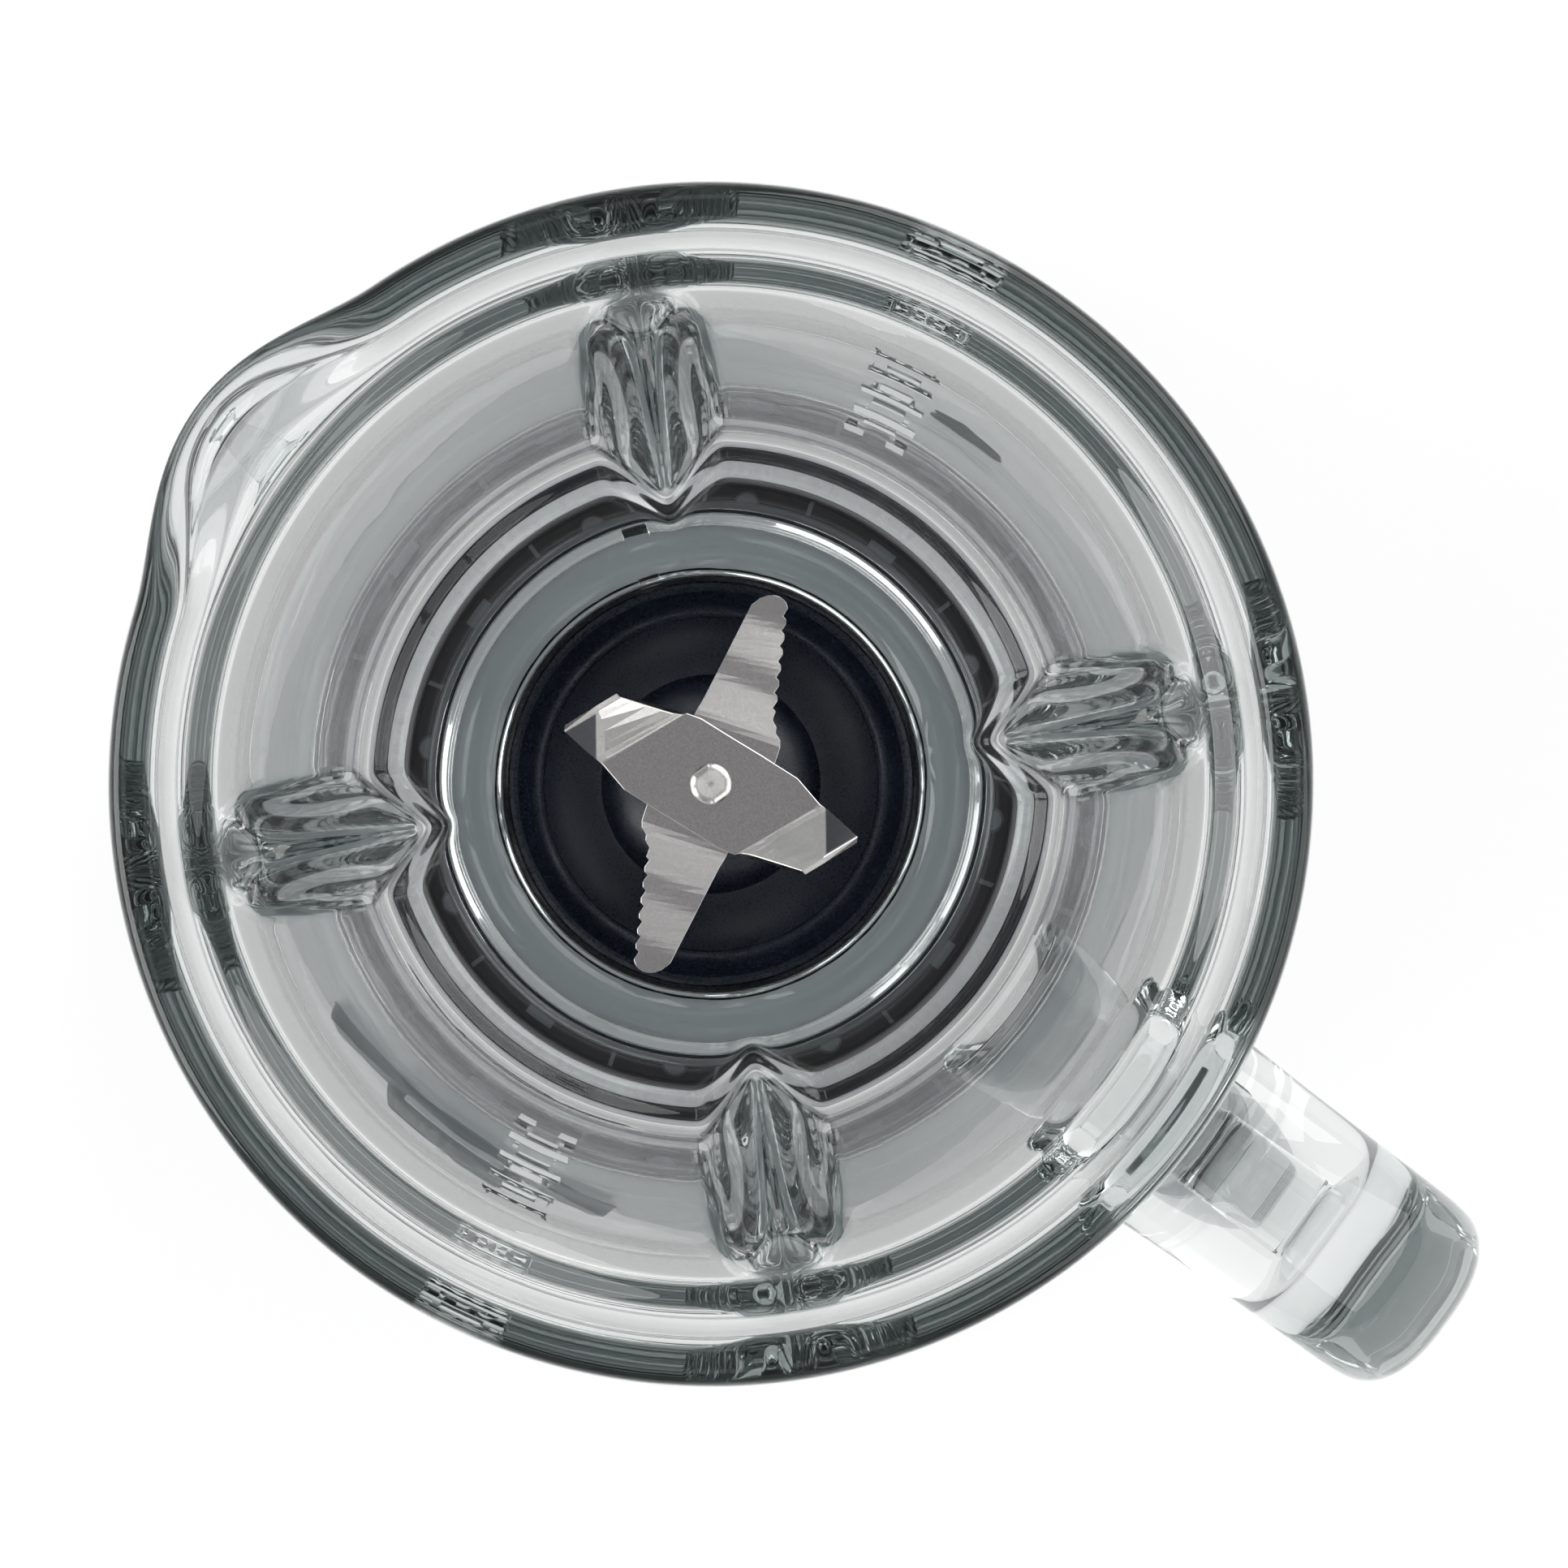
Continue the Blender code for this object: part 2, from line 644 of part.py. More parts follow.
def bottom_cover():
    """Flat cover with the centre pad, foot recesses, screw holes and cooling slots."""
    mesh = bmesh.new()
    edge = [(1.5, 84.0), (4.5, 85.2)]
    rings = [squircle_ring(mesh, height * MM, size * MM, 3.0) for height, size in edge]
    mesh.faces.new(rings[0])
    mesh.faces.new(rings[1])
    join_rings(mesh, *rings)
    cover = finish_mesh("bottom_cover", mesh, black_plastic())
    pad_outline = mm_points([(0.0, 0.0), (28.0, 0.0), (28.0, 2.5), (0.0, 2.5)])
    join(cover, turned("underside_pad", pad_outline, None, 32))
    for angle in DIAGONALS:
        foot_x, foot_y = polar(FOOT_CENTRE, angle)
        drill(cover, FOOT_RADIUS + GAP, -1.0 * MM, 2.8 * MM, (foot_x, foot_y))
        screw_x, screw_y = polar(SCREW_CENTRE, angle)
        drill(cover, SCREW_HOLE_RADIUS, -1.0 * MM, 6.0 * MM, (screw_x, screw_y), 8)
        drill(cover, 4.3 * MM, -1.0 * MM, 3.0 * MM, (screw_x, screw_y), 12)
    for side in range(4):
        for fan in (-16.0, 0.0, 16.0):
            slot = block(f"slot_{side}_{fan:.0f}", mm_point(36.0, -1.6, -1.0), mm_point(56.0, 1.6, 6.0), None)
            slot.rotation_euler = (0.0, 0.0, math.radians(side * 90.0 + fan))
            cut(cover, slot)
    return cover


def feet_and_screws():
    foot_outline = mm_points([(0.0, -2.5), (7.6, -2.5), (8.8, -1.6), (9.0, 2.5), (0.0, 2.5)])
    screw_outline = mm_points([(0.0, 1.4), (3.4, 1.4), (3.8, 2.7), (1.9, 2.7), (1.9, 14.0), (0.0, 15.5)])
    for name, angle in zip(CORNER_NAMES, DIAGONALS):
        foot = turned(f"foot_{name}", foot_outline, rubber(), 20)
        foot.location = (*polar(FOOT_CENTRE, angle), 0.0)
        screw = turned(f"cover_screw_{name}", screw_outline, bright_steel(), 12)
        screw.location = (*polar(SCREW_CENTRE, angle), 0.0)


def cord_inlet():
    """Grommet in the rear wall that the mains lead passes through."""
    profile = mm_points([(3.4, 80.0), (5.6, 80.0), (6.8, 83.0), (6.8, 89.0), (9.0, 89.0), (8.4, 92.5),
                         (3.4, 93.5)])
    face_rear(turned("cord_inlet", profile, rubber(), 20))


# ---------------------------------------------------------------- front controls

def front_frame():
    """Empty on the front wall: local -Y points out of the panel, local Z runs up it."""
    found = bpy.data.objects.get("front_frame")
    if found:
        return found
    frame = bpy.data.objects.new("front_frame", None)
    frame.location = PANEL_CENTRE
    frame.rotation_euler = (PANEL_TILT, 0.0, 0.0)
    bpy.context.collection.objects.link(frame)
    return frame


def on_front(piece, rise=0.0):
    piece.parent = front_frame()
    piece.location = (0.0, 0.0, rise)
    return piece


def facing_front(piece, rise):
    """Turned pieces are drawn along +Z, which becomes the way out of the panel."""
    on_front(piece, rise)
    piece.rotation_euler = (math.radians(90.0), 0.0, 0.0)
    return piece


def rounded_plate(name, half_x, half_y, corner, low, high, look, steps=4):
    """Plate with round corners, drawn flat and raised along +Z."""
    outline = []
    for quarter, (side_x, side_y) in enumerate(((1, 1), (-1, 1), (-1, -1), (1, -1))):
        for step in range(steps + 1):
            angle = math.radians(90.0 * (quarter + step / steps))
            outline.append(((side_x * (half_x - corner) + corner * math.cos(angle)) * MM,
                            (side_y * (half_y - corner) + corner * math.sin(angle)) * MM))
    return prism(name, outline, low * MM, high * MM, look)


def control_panel():
    panel = facing_front(rounded_plate("control_panel", 34.0, 30.0, 9.0, -4.5, 2.6, black_plastic()), 0.0)
    hollow = facing_front(rounded_plate("panel_hollow", 31.6, 27.6, 7.0, -6.0, -0.4, None), 0.0)
    spindle_hole = turned("spindle_hole", mm_points([(0.0, -8.0), (3.8, -8.0), (3.8, 8.0), (0.0, 8.0)]), None)
    facing_front(spindle_hole, KNOB_DROP)
    window = facing_front(rounded_plate("button_window", 12.4, 4.8, 2.6, -8.0, 8.0, None), BUTTON_RISE)
    cut(panel, hollow, spindle_hole, window)
    return panel


def speed_knob():
    """Round dial with a raised pointer, on the selector's spindle."""
    profile = mm_points([(0.0, -5.4), (3.2, -5.4), (3.2, 3.2), (16.8, 3.2), (17.0, 6.0), (15.6, 12.2),
                         (14.4, 13.4), (0.0, 13.4)])
    knob = facing_front(turned("speed_knob", profile, black_plastic(), 36), KNOB_DROP)
    ridge = block("knob_pointer", mm_point(-1.6, -3.0, 12.0), mm_point(1.6, 14.6, 14.4), None)
    facing_front(ridge, KNOB_DROP)
    join(knob, ridge)
    return knob


def pulse_button():
    flange_back = -3.4
    cap = rounded_plate("pulse_button", 12.0, 4.4, 2.4, flange_back, 5.4, silver_plastic())
    button = facing_front(cap, BUTTON_RISE)
    flange = rounded_plate("button_flange", 14.5, 6.5, 2.4, flange_back, flange_back + 1.6, None)
    join(button, facing_front(flange, BUTTON_RISE))
    spring = coil_spring("button_spring", 2.6 * MM, 0.35 * MM, 3.5, 8.4 * MM, bright_steel())
    on_front(spring, BUTTON_RISE)
    spring.rotation_euler = (math.radians(-90.0), 0.0, 0.0)
    spring.location.y = 4.2 * MM
    return button


def switches_and_board():
    selector = block("selector_switch", mm_point(-14.0, 6.0, -14.0), mm_point(14.0, 20.0, 14.0),
                     black_plastic(), 0.8 * MM)
    on_front(selector, KNOB_DROP)
    pulse = block("pulse_switch", mm_point(-8.0, 13.2, -4.5), mm_point(8.0, 20.0, 4.5), black_plastic(),
                  0.6 * MM)
    on_front(pulse, BUTTON_RISE)
    on_front(block("control_board", mm_point(-29.0, 20.4, -26.0), mm_point(29.0, 22.0, 26.0),
                   circuit_board()))


# ---------------------------------------------------------------- motor

def bearing_bracket(name, plate_low, leg_low, leg_high):
    """Round end plate with a bearing hub and four legs that clamp the stator."""
    plate_high = plate_low + 4.0
    profile = mm_points([(9.3, plate_low - 2.0), (12.4, plate_low - 2.0), (12.4, plate_low),
                         (40.0, plate_low), (40.0, plate_high), (12.4, plate_high),
                         (12.4, plate_high + 2.0), (9.3, plate_high + 2.0)])
    bracket = turned(name, profile, cast_aluminium(), 24)
    for index, angle in enumerate(DIAGONALS):
        sign_x = math.copysign(1.0, math.cos(math.radians(angle)))
        sign_y = math.copysign(1.0, math.sin(math.radians(angle)))
        corners_x = sorted((sign_x * 24.0 * MM, sign_x * 29.0 * MM))
        corners_y = sorted((sign_y * 22.0 * MM, sign_y * 26.0 * MM))
        leg = block(f"{name}_leg_{index}", (corners_x[0], corners_y[0], leg_low * MM),
                    (corners_x[1], corners_y[1], leg_high * MM), None)
        join(bracket, leg)
    return bracket


def motor_frame():
    bearing_bracket("upper_bearing_bracket", 98.0, 85.4, 99.0)
    bearing_bracket("lower_bearing_bracket", 21.0, 24.0, 54.6)
    ring("upper_bearing", 4.4, 9.0, 97.0, 103.0, bright_steel())
    ring("lower_bearing", 4.4, 9.0, 20.0, 26.0, bright_steel())
    ring("shaft_seal", 4.4, 8.8, 122.5, 127.0, rubber())
    for name, angle in zip(CORNER_NAMES, DIAGONALS):
        mount = ring(f"motor_mount_{name}", 2.0, 6.0, 102.3, 111.7, rubber(), 14)
        mount.location = (*polar(MOTOR_MOUNT_CENTRE, angle), 0.0)


def stator():
    """Two-pole laminated core, with a field coil round each pole."""
    half_x, half_y, low, high = 36.0 * MM, 33.0 * MM, 55.0 * MM, 85.0 * MM
    core = block("stator_core", (-half_x, -half_y, low), (half_x, half_y, high), lamination_steel())
    drill(core, 20.9 * MM, low - MM, high + MM, (0.0, 0.0), 28)
    for side_x in (-1, 1):
        for side_y in (-1, 1):
            span_x = sorted((side_x * 12.0 * MM, side_x * 23.5 * MM))
            span_y = sorted((side_y * 14.0 * MM, side_y * 21.5 * MM))
            cut(core, block(f"winding_window_{side_x}_{side_y}", (span_x[0], span_y[0], low - MM),
                            (span_x[1], span_y[1], high + MM), None))
    for name, side in (("field_coil_rear", 1), ("field_coil_front", -1)):
        near, far = sorted((side * 17.2, side * 21.2))
        coil = block(name, mm_point(-18.5, near, 52.0), mm_point(18.5, far, 88.0), copper(), 1.0 * MM)
        near, far = sorted((side * 10.0 * MM, side * 24.0 * MM))
        window = block(f"{name}_core", (-12.4 * MM, near, low - GAP), (12.4 * MM, far, high + GAP), None)
        cut(coil, window)


def rotor():
    """Armature on its shaft, with commutator, cooling fan and windings."""
    shaft = mm_points([(0.0, 7.0), (3.4, 7.0), (4.0, 7.8), (4.0, 129.8), (0.0, 129.8)])
    turned("motor_shaft", shaft, bright_steel())
    slots = 12
    outline = []
    for slot in range(slots):
        start = 360.0 * slot / slots
        for radius, share in ((20.2, 0.08), (20.2, 0.92), (14.5, 0.94), (14.5, 1.06)):
            outline.append(polar(radius * MM, start + share * 360.0 / slots))
    core = prism("armature_core", outline, 55.0 * MM, 85.0 * MM, lamination_steel())
    drill(core, BORE_RADIUS, 50.0 * MM, 90.0 * MM)
    ring("armature_winding_upper", 6.0, 13.6, 85.3, 93.0, copper())
    ring("armature_winding_lower", 6.0, 13.6, 47.0, 54.7, copper())
    ring("commutator", 4.4, 11.0, 31.0, 43.5, copper(), 24)
    cooling_fan()


def cooling_fan():
    profile = mm_points([(4.4, 9.0), (8.0, 9.0), (8.0, 16.0), (31.0, 16.0), (31.0, 17.6), (4.4, 17.6)])
    fan = turned("cooling_fan", profile, black_plastic(), 24)
    vanes = 9
    for index in range(vanes):
        vane = block(f"fan_vane_{index}", mm_point(12.0, -0.6, 9.6), mm_point(29.0, 0.6, 16.6), None)
        vane.rotation_euler = (0.0, 0.0, math.tau * index / vanes)
        join(fan, vane)


def brush_gear():
    """Carbon brush, spring and holder on each side of the commutator."""
    for name, angle in (("right", 0.0), ("left", 180.0)):
        turn = (0.0, 0.0, math.radians(angle))
        holder = block(f"brush_holder_{name}", mm_point(14.0, -5.4, 25.4), mm_point(36.0, 5.4, 43.0), brass())
        channel = block(f"{name}_channel", mm_point(12.0, -3.4, 32.6), mm_point(34.2, 3.4, 41.4), None)
        brush = block(f"carbon_brush_{name}", mm_point(11.5, -3.0, 33.0), mm_point(24.0, 3.0, 41.0), carbon())
        spring = coil_spring(f"brush_spring_{name}", 2.2 * MM, 0.3 * MM, 3.5, 9.2 * MM, bright_steel())
        cut(holder, channel)
        for piece in (holder, channel, brush):
            piece.rotation_euler = turn
        spring.rotation_euler = (0.0, math.radians(90.0), math.radians(angle))
        spring.location = (*polar(24.5 * MM, angle), 37.0 * MM)


def build():
    clear_scene()
    glass_jug()
    collar()
    blade_seat()
    seat_parts()
    blade_spindle()
    lower_blade()
    upper_blade()
    couplings()
    base_housing()
    jug_seat()
    bottom_cover()
    feet_and_screws()
    cord_inlet()
    control_panel()
    speed_knob()
    pulse_button()
    switches_and_board()
    motor_frame()
    stator()
    rotor()
    brush_gear()


build()
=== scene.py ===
"""Looks of the countertop blender: clear glass jug, steel blades, dark collar and silver motor base."""
import json
import math

import bmesh
import bpy
from mathutils import Matrix, Vector


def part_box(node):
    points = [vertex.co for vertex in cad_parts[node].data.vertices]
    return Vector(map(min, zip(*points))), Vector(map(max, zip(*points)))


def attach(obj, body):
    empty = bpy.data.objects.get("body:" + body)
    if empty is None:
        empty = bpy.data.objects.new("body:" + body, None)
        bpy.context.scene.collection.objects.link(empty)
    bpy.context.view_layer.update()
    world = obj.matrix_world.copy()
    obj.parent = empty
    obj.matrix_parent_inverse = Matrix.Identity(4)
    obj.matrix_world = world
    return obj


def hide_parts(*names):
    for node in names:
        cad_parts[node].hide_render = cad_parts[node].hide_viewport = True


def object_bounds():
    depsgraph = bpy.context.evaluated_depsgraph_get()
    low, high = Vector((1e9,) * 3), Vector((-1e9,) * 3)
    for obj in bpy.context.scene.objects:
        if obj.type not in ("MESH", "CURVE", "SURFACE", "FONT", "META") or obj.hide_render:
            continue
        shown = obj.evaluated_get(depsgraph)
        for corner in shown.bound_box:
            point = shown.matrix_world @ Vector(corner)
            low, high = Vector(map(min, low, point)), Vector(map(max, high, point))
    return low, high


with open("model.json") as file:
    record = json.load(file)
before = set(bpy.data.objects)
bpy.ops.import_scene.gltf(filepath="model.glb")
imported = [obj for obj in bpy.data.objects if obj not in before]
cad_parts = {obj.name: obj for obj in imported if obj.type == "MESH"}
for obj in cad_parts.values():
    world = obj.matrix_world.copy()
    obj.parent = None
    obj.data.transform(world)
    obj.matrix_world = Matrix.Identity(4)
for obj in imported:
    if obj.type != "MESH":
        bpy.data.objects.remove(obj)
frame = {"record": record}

MM = 0.001
CAD_BOX = [list(corner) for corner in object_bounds()]

# Lengths are in mm and angles in degrees; CAD_BOX, RIM_TOP, FLOOR_HEIGHT and the studio are in metres.
RIM_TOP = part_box("glass_jug")[1][2]
FLOOR_HEIGHT = CAD_BOX[0][2]
SMOOTH_ANGLE = 40.0
CRISP_ANGLE = 35.0
RIB_ANGLES = (45.0, 135.0, 225.0, 315.0)
SPOUT_ANGLE = 180.0
SPOUT_HALF_ANGLE = 19.0
SPOUT_FULLNESS = 0.8
LUG_ANGLES = (4.0, 124.0, 244.0)
LUG_WIDTH = 35.0
COLLAR_GRIPS = 60
RIDGE_ROUNDING = 0.16


# ---------------------------------------------------------------- mesh helpers

def polar(radius, degrees):
    """Point on a circle about the origin."""
    angle = math.radians(degrees)
    return radius * math.cos(angle), radius * math.sin(angle)


def turn(degrees, axis="Z"):
    """Rotation about an axis through the origin."""
    return Matrix.Rotation(math.radians(degrees), 4, axis)


def shift(x, y, z):
    """Move by so many mm."""
    return Matrix.Translation(Vector((x, y, z)) * MM)


def as_object(name, mesh_data, look, smooth_angle=SMOOTH_ANGLE):
    """Object from a bmesh; edges sharper than the angle stay sharp, and None smooths them all."""
    bmesh.ops.remove_doubles(mesh_data, verts=mesh_data.verts, dist=1e-7)
    bmesh.ops.recalc_face_normals(mesh_data, faces=mesh_data.faces)
    mesh = bpy.data.meshes.new(name)
    mesh_data.to_mesh(mesh)
    mesh_data.free()
    mesh.shade_smooth()
    if smooth_angle:
        mesh.set_sharp_from_angle(angle=math.radians(smooth_angle))
    made = bpy.data.objects.new(name, mesh)
    bpy.context.collection.objects.link(made)
    if look:
        mesh.materials.append(look)
    return made


def join_rings(mesh, lower, upper):
    """Faces between two closed rings of vertices; a ring of one vertex is a pole."""
    count = max(len(lower), len(upper))
    for step in range(count):
        after = (step + 1) % count
        corners = [lower[0]] if len(lower) == 1 else [lower[step], lower[after]]
        corners += [upper[0]] if len(upper) == 1 else [upper[after], upper[step]]
        mesh.faces.new(corners)


def add_modifier(piece, kind, **settings):
    """Add a modifier of a kind, with its settings."""
    modifier = piece.modifiers.new(kind.lower(), kind)
    for key, value in settings.items():
        setattr(modifier, key, value)


def apply_modifiers(piece):
    """Turn a piece's modifiers into its mesh."""
    graph = bpy.context.evaluated_depsgraph_get()
    mesh = bpy.data.meshes.new_from_object(piece.evaluated_get(graph))
    piece.modifiers.clear()
    piece.data = mesh
    return piece


# ---------------------------------------------------------------- node helpers

NOISE_LOW = 0.3
NOISE_HIGH = 0.7
COAT_ROUGHNESS = 0.08
GLASS_IOR = 1.5
GLASS_TINT = (0.34, 0.40, 0.39)
GLASS_DENSITY = 12.0


def shader_material(name):
    """New material, with its node tree and its main shader."""
    look = bpy.data.materials.new(name)
    look.use_nodes = True
    return look, look.node_tree, look.node_tree.nodes["Principled BSDF"]


def glass_look(name):
    """Clear pressed glass that greys with depth, with faint waves left in its surface by the mould."""
    look, tree, shader = shader_material(name)
    waves = noise(tree, 70.0, 2.0, (1.0, 1.0, 0.35))
    tree.links.new(tinted(tree, waves, (0.975, 0.985, 0.982), (1.0, 1.0, 1.0)), shader.inputs["Base Color"])
    bumped(tree, shader, waves, 0.03)
    shader.inputs["Roughness"].default_value = 0.0
    shader.inputs["IOR"].default_value = GLASS_IOR
    shader.inputs["Transmission Weight"].default_value = 1.0
    absorb = tree.nodes.new("ShaderNodeVolumeAbsorption")
    absorb.inputs["Color"].default_value = (*GLASS_TINT, 1.0)
    absorb.inputs["Density"].default_value = GLASS_DENSITY
    tree.links.new(absorb.outputs["Volume"], tree.nodes["Material Output"].inputs["Volume"])
    return look


def noise(tree, scale, detail=4.0, stretch=(1.0, 1.0, 1.0)):
    """Noise over object space, where scale counts its grains per metre."""
    coords = tree.nodes.new("ShaderNodeTexCoord")
    mapping = tree.nodes.new("ShaderNodeMapping")
    mapping.inputs["Scale"].default_value = stretch
    texture = tree.nodes.new("ShaderNodeTexNoise")
    texture.inputs["Scale"].default_value = scale
    texture.inputs["Detail"].default_value = detail
    tree.links.new(coords.outputs["Object"], mapping.inputs["Vector"])
    tree.links.new(mapping.outputs["Vector"], texture.inputs["Vector"])
    return texture.outputs["Fac"]


def remap(tree, value, low, high, start=NOISE_LOW, end=NOISE_HIGH):
    """Spread a value between start and end over the range from low to high."""
    spread = tree.nodes.new("ShaderNodeMapRange")
    spread.inputs["From Min"].default_value = start
    spread.inputs["From Max"].default_value = end
    spread.inputs["To Min"].default_value = low
    spread.inputs["To Max"].default_value = high
    tree.links.new(value, spread.inputs["Value"])
    return spread.outputs["Result"]


def tinted(tree, value, dark, light):
    """Colour between a dark and a light one, led by a noise value."""
    ramp = tree.nodes.new("ShaderNodeValToRGB")
    ramp.color_ramp.elements[0].position = NOISE_LOW
    ramp.color_ramp.elements[1].position = NOISE_HIGH
    ramp.color_ramp.elements[0].color = (*dark, 1.0)
    ramp.color_ramp.elements[1].color = (*light, 1.0)
    tree.links.new(value, ramp.inputs["Fac"])
    return ramp.outputs["Color"]


def bumped(tree, shader, value, depth):
    """Bump of a depth in mm."""
    bump = tree.nodes.new("ShaderNodeBump")
    bump.inputs["Strength"].default_value = 1.0
    bump.inputs["Distance"].default_value = depth * MM
    tree.links.new(value, bump.inputs["Height"])
    tree.links.new(bump.outputs["Normal"], shader.inputs["Normal"])


def textured_look(name, dark, light, roughness, metallic=0.0, grain=2500.0, depth=0.02, patches=60.0,
                  stretch=(1.0, 1.0, 1.0), coat=0.0, specular=0.5):
    """Surface with patchy colour and roughness, and a fine grain or brushing in its bump."""
    look, tree, shader = shader_material(name)
    cloudy = noise(tree, patches, 5.0)
    tree.links.new(tinted(tree, cloudy, dark, light), shader.inputs["Base Color"])
    fine = noise(tree, grain, 3.0, stretch)
    tree.links.new(remap(tree, fine, *roughness), shader.inputs["Roughness"])
    shader.inputs["Metallic"].default_value = metallic
    shader.inputs["Specular IOR Level"].default_value = specular
    if coat:
        shader.inputs["Coat Weight"].default_value = coat
        shader.inputs["Coat Roughness"].default_value = COAT_ROUGHNESS
    bumped(tree, shader, fine, depth)
    return look


def all_looks():
    """One look for each material slot of the record."""
    return {
        "black_plastic": textured_look("black_moulding", (0.026, 0.027, 0.030), (0.036, 0.037, 0.041),
                                       (0.30, 0.42), grain=3500.0, depth=0.012),
        "navy_plastic": textured_look("navy_moulding", (0.0085, 0.0125, 0.024), (0.0125, 0.018, 0.033),
                                      (0.24, 0.34), grain=2600.0, depth=0.006, patches=90.0),
        "silver_plastic": textured_look("silver_paint", (0.47, 0.48, 0.49), (0.56, 0.57, 0.58), (0.26, 0.38),
                                        0.25, grain=5200.0, depth=0.010, patches=900.0, coat=0.4),
        "blade_steel": textured_look("blade_steel", (0.70, 0.672, 0.655), (0.78, 0.755, 0.74), (0.16, 0.24),
                                     1.0, grain=6000.0, depth=0.0006, patches=2600.0),
        "bright_steel": textured_look("bright_steel", (0.60, 0.60, 0.61), (0.70, 0.70, 0.70), (0.14, 0.26),
                                      1.0, grain=900.0, depth=0.004, patches=240.0, stretch=(1.0, 1.0, 6.0)),
        "lamination_steel": textured_look("stacked_laminations", (0.20, 0.21, 0.23), (0.33, 0.34, 0.36),
                                          (0.35, 0.60), 1.0, grain=180.0, depth=0.15, patches=70.0,
                                          stretch=(0.02, 0.02, 11.0)),
        "copper_wire": textured_look("enamelled_copper", (0.50, 0.17, 0.07), (0.78, 0.36, 0.17), (0.20, 0.40),
                                     1.0, grain=150.0, depth=0.35, patches=160.0, stretch=(1.0, 1.0, 9.0)),
        "brass": textured_look("brass", (0.62, 0.46, 0.18), (0.78, 0.62, 0.30), (0.22, 0.36), 1.0,
                               grain=1400.0, depth=0.01, patches=120.0),
        "carbon": textured_look("carbon", (0.020, 0.020, 0.022), (0.055, 0.055, 0.060), (0.45, 0.75),
                                grain=2200.0, depth=0.03, patches=600.0),
        "circuit_board": textured_look("circuit_board", (0.010, 0.09, 0.035), (0.022, 0.17, 0.07),
                                       (0.28, 0.5), grain=900.0, depth=0.02, patches=320.0, coat=0.3),
        "cast_aluminium": textured_look("cast_aluminium", (0.52, 0.53, 0.54), (0.68, 0.68, 0.69),
                                        (0.38, 0.58), 1.0, grain=1500.0, depth=0.05, patches=110.0),
        "rubber": textured_look("rubber", (0.016, 0.016, 0.017), (0.030, 0.030, 0.031), (0.62, 0.82),
                                grain=2600.0, depth=0.025, patches=80.0, specular=0.35),
        "silicone": textured_look("silicone", (0.84, 0.93, 0.96), (0.90, 0.97, 0.99), (0.42, 0.56),
                                  grain=1800.0, depth=0.01, patches=60.0),
    }


# ---------------------------------------------------------------- glass jug

JUG_SEGMENTS = 240
HANDLE_WIDTH = 27.0
HANDLE_HALF_DEPTH = 9.0
BAR_POINTS = 48
BAR_SQUARENESS = 2.6
BAR_STEPS = 6
BAR_WIDENING = 0.2
MARK_SIDES = (101.0, 281.0)
MARK_COUNT = 10
MARK_START = 198.0
MARK_VOLUME = 125
FACING_OUT = Matrix(((0.0, 0.0, 1.0, 0.0), (1.0, 0.0, 0.0, 0.0), (0.0, 1.0, 0.0, 0.0), (0.0, 0.0, 0.0, 1.0)))

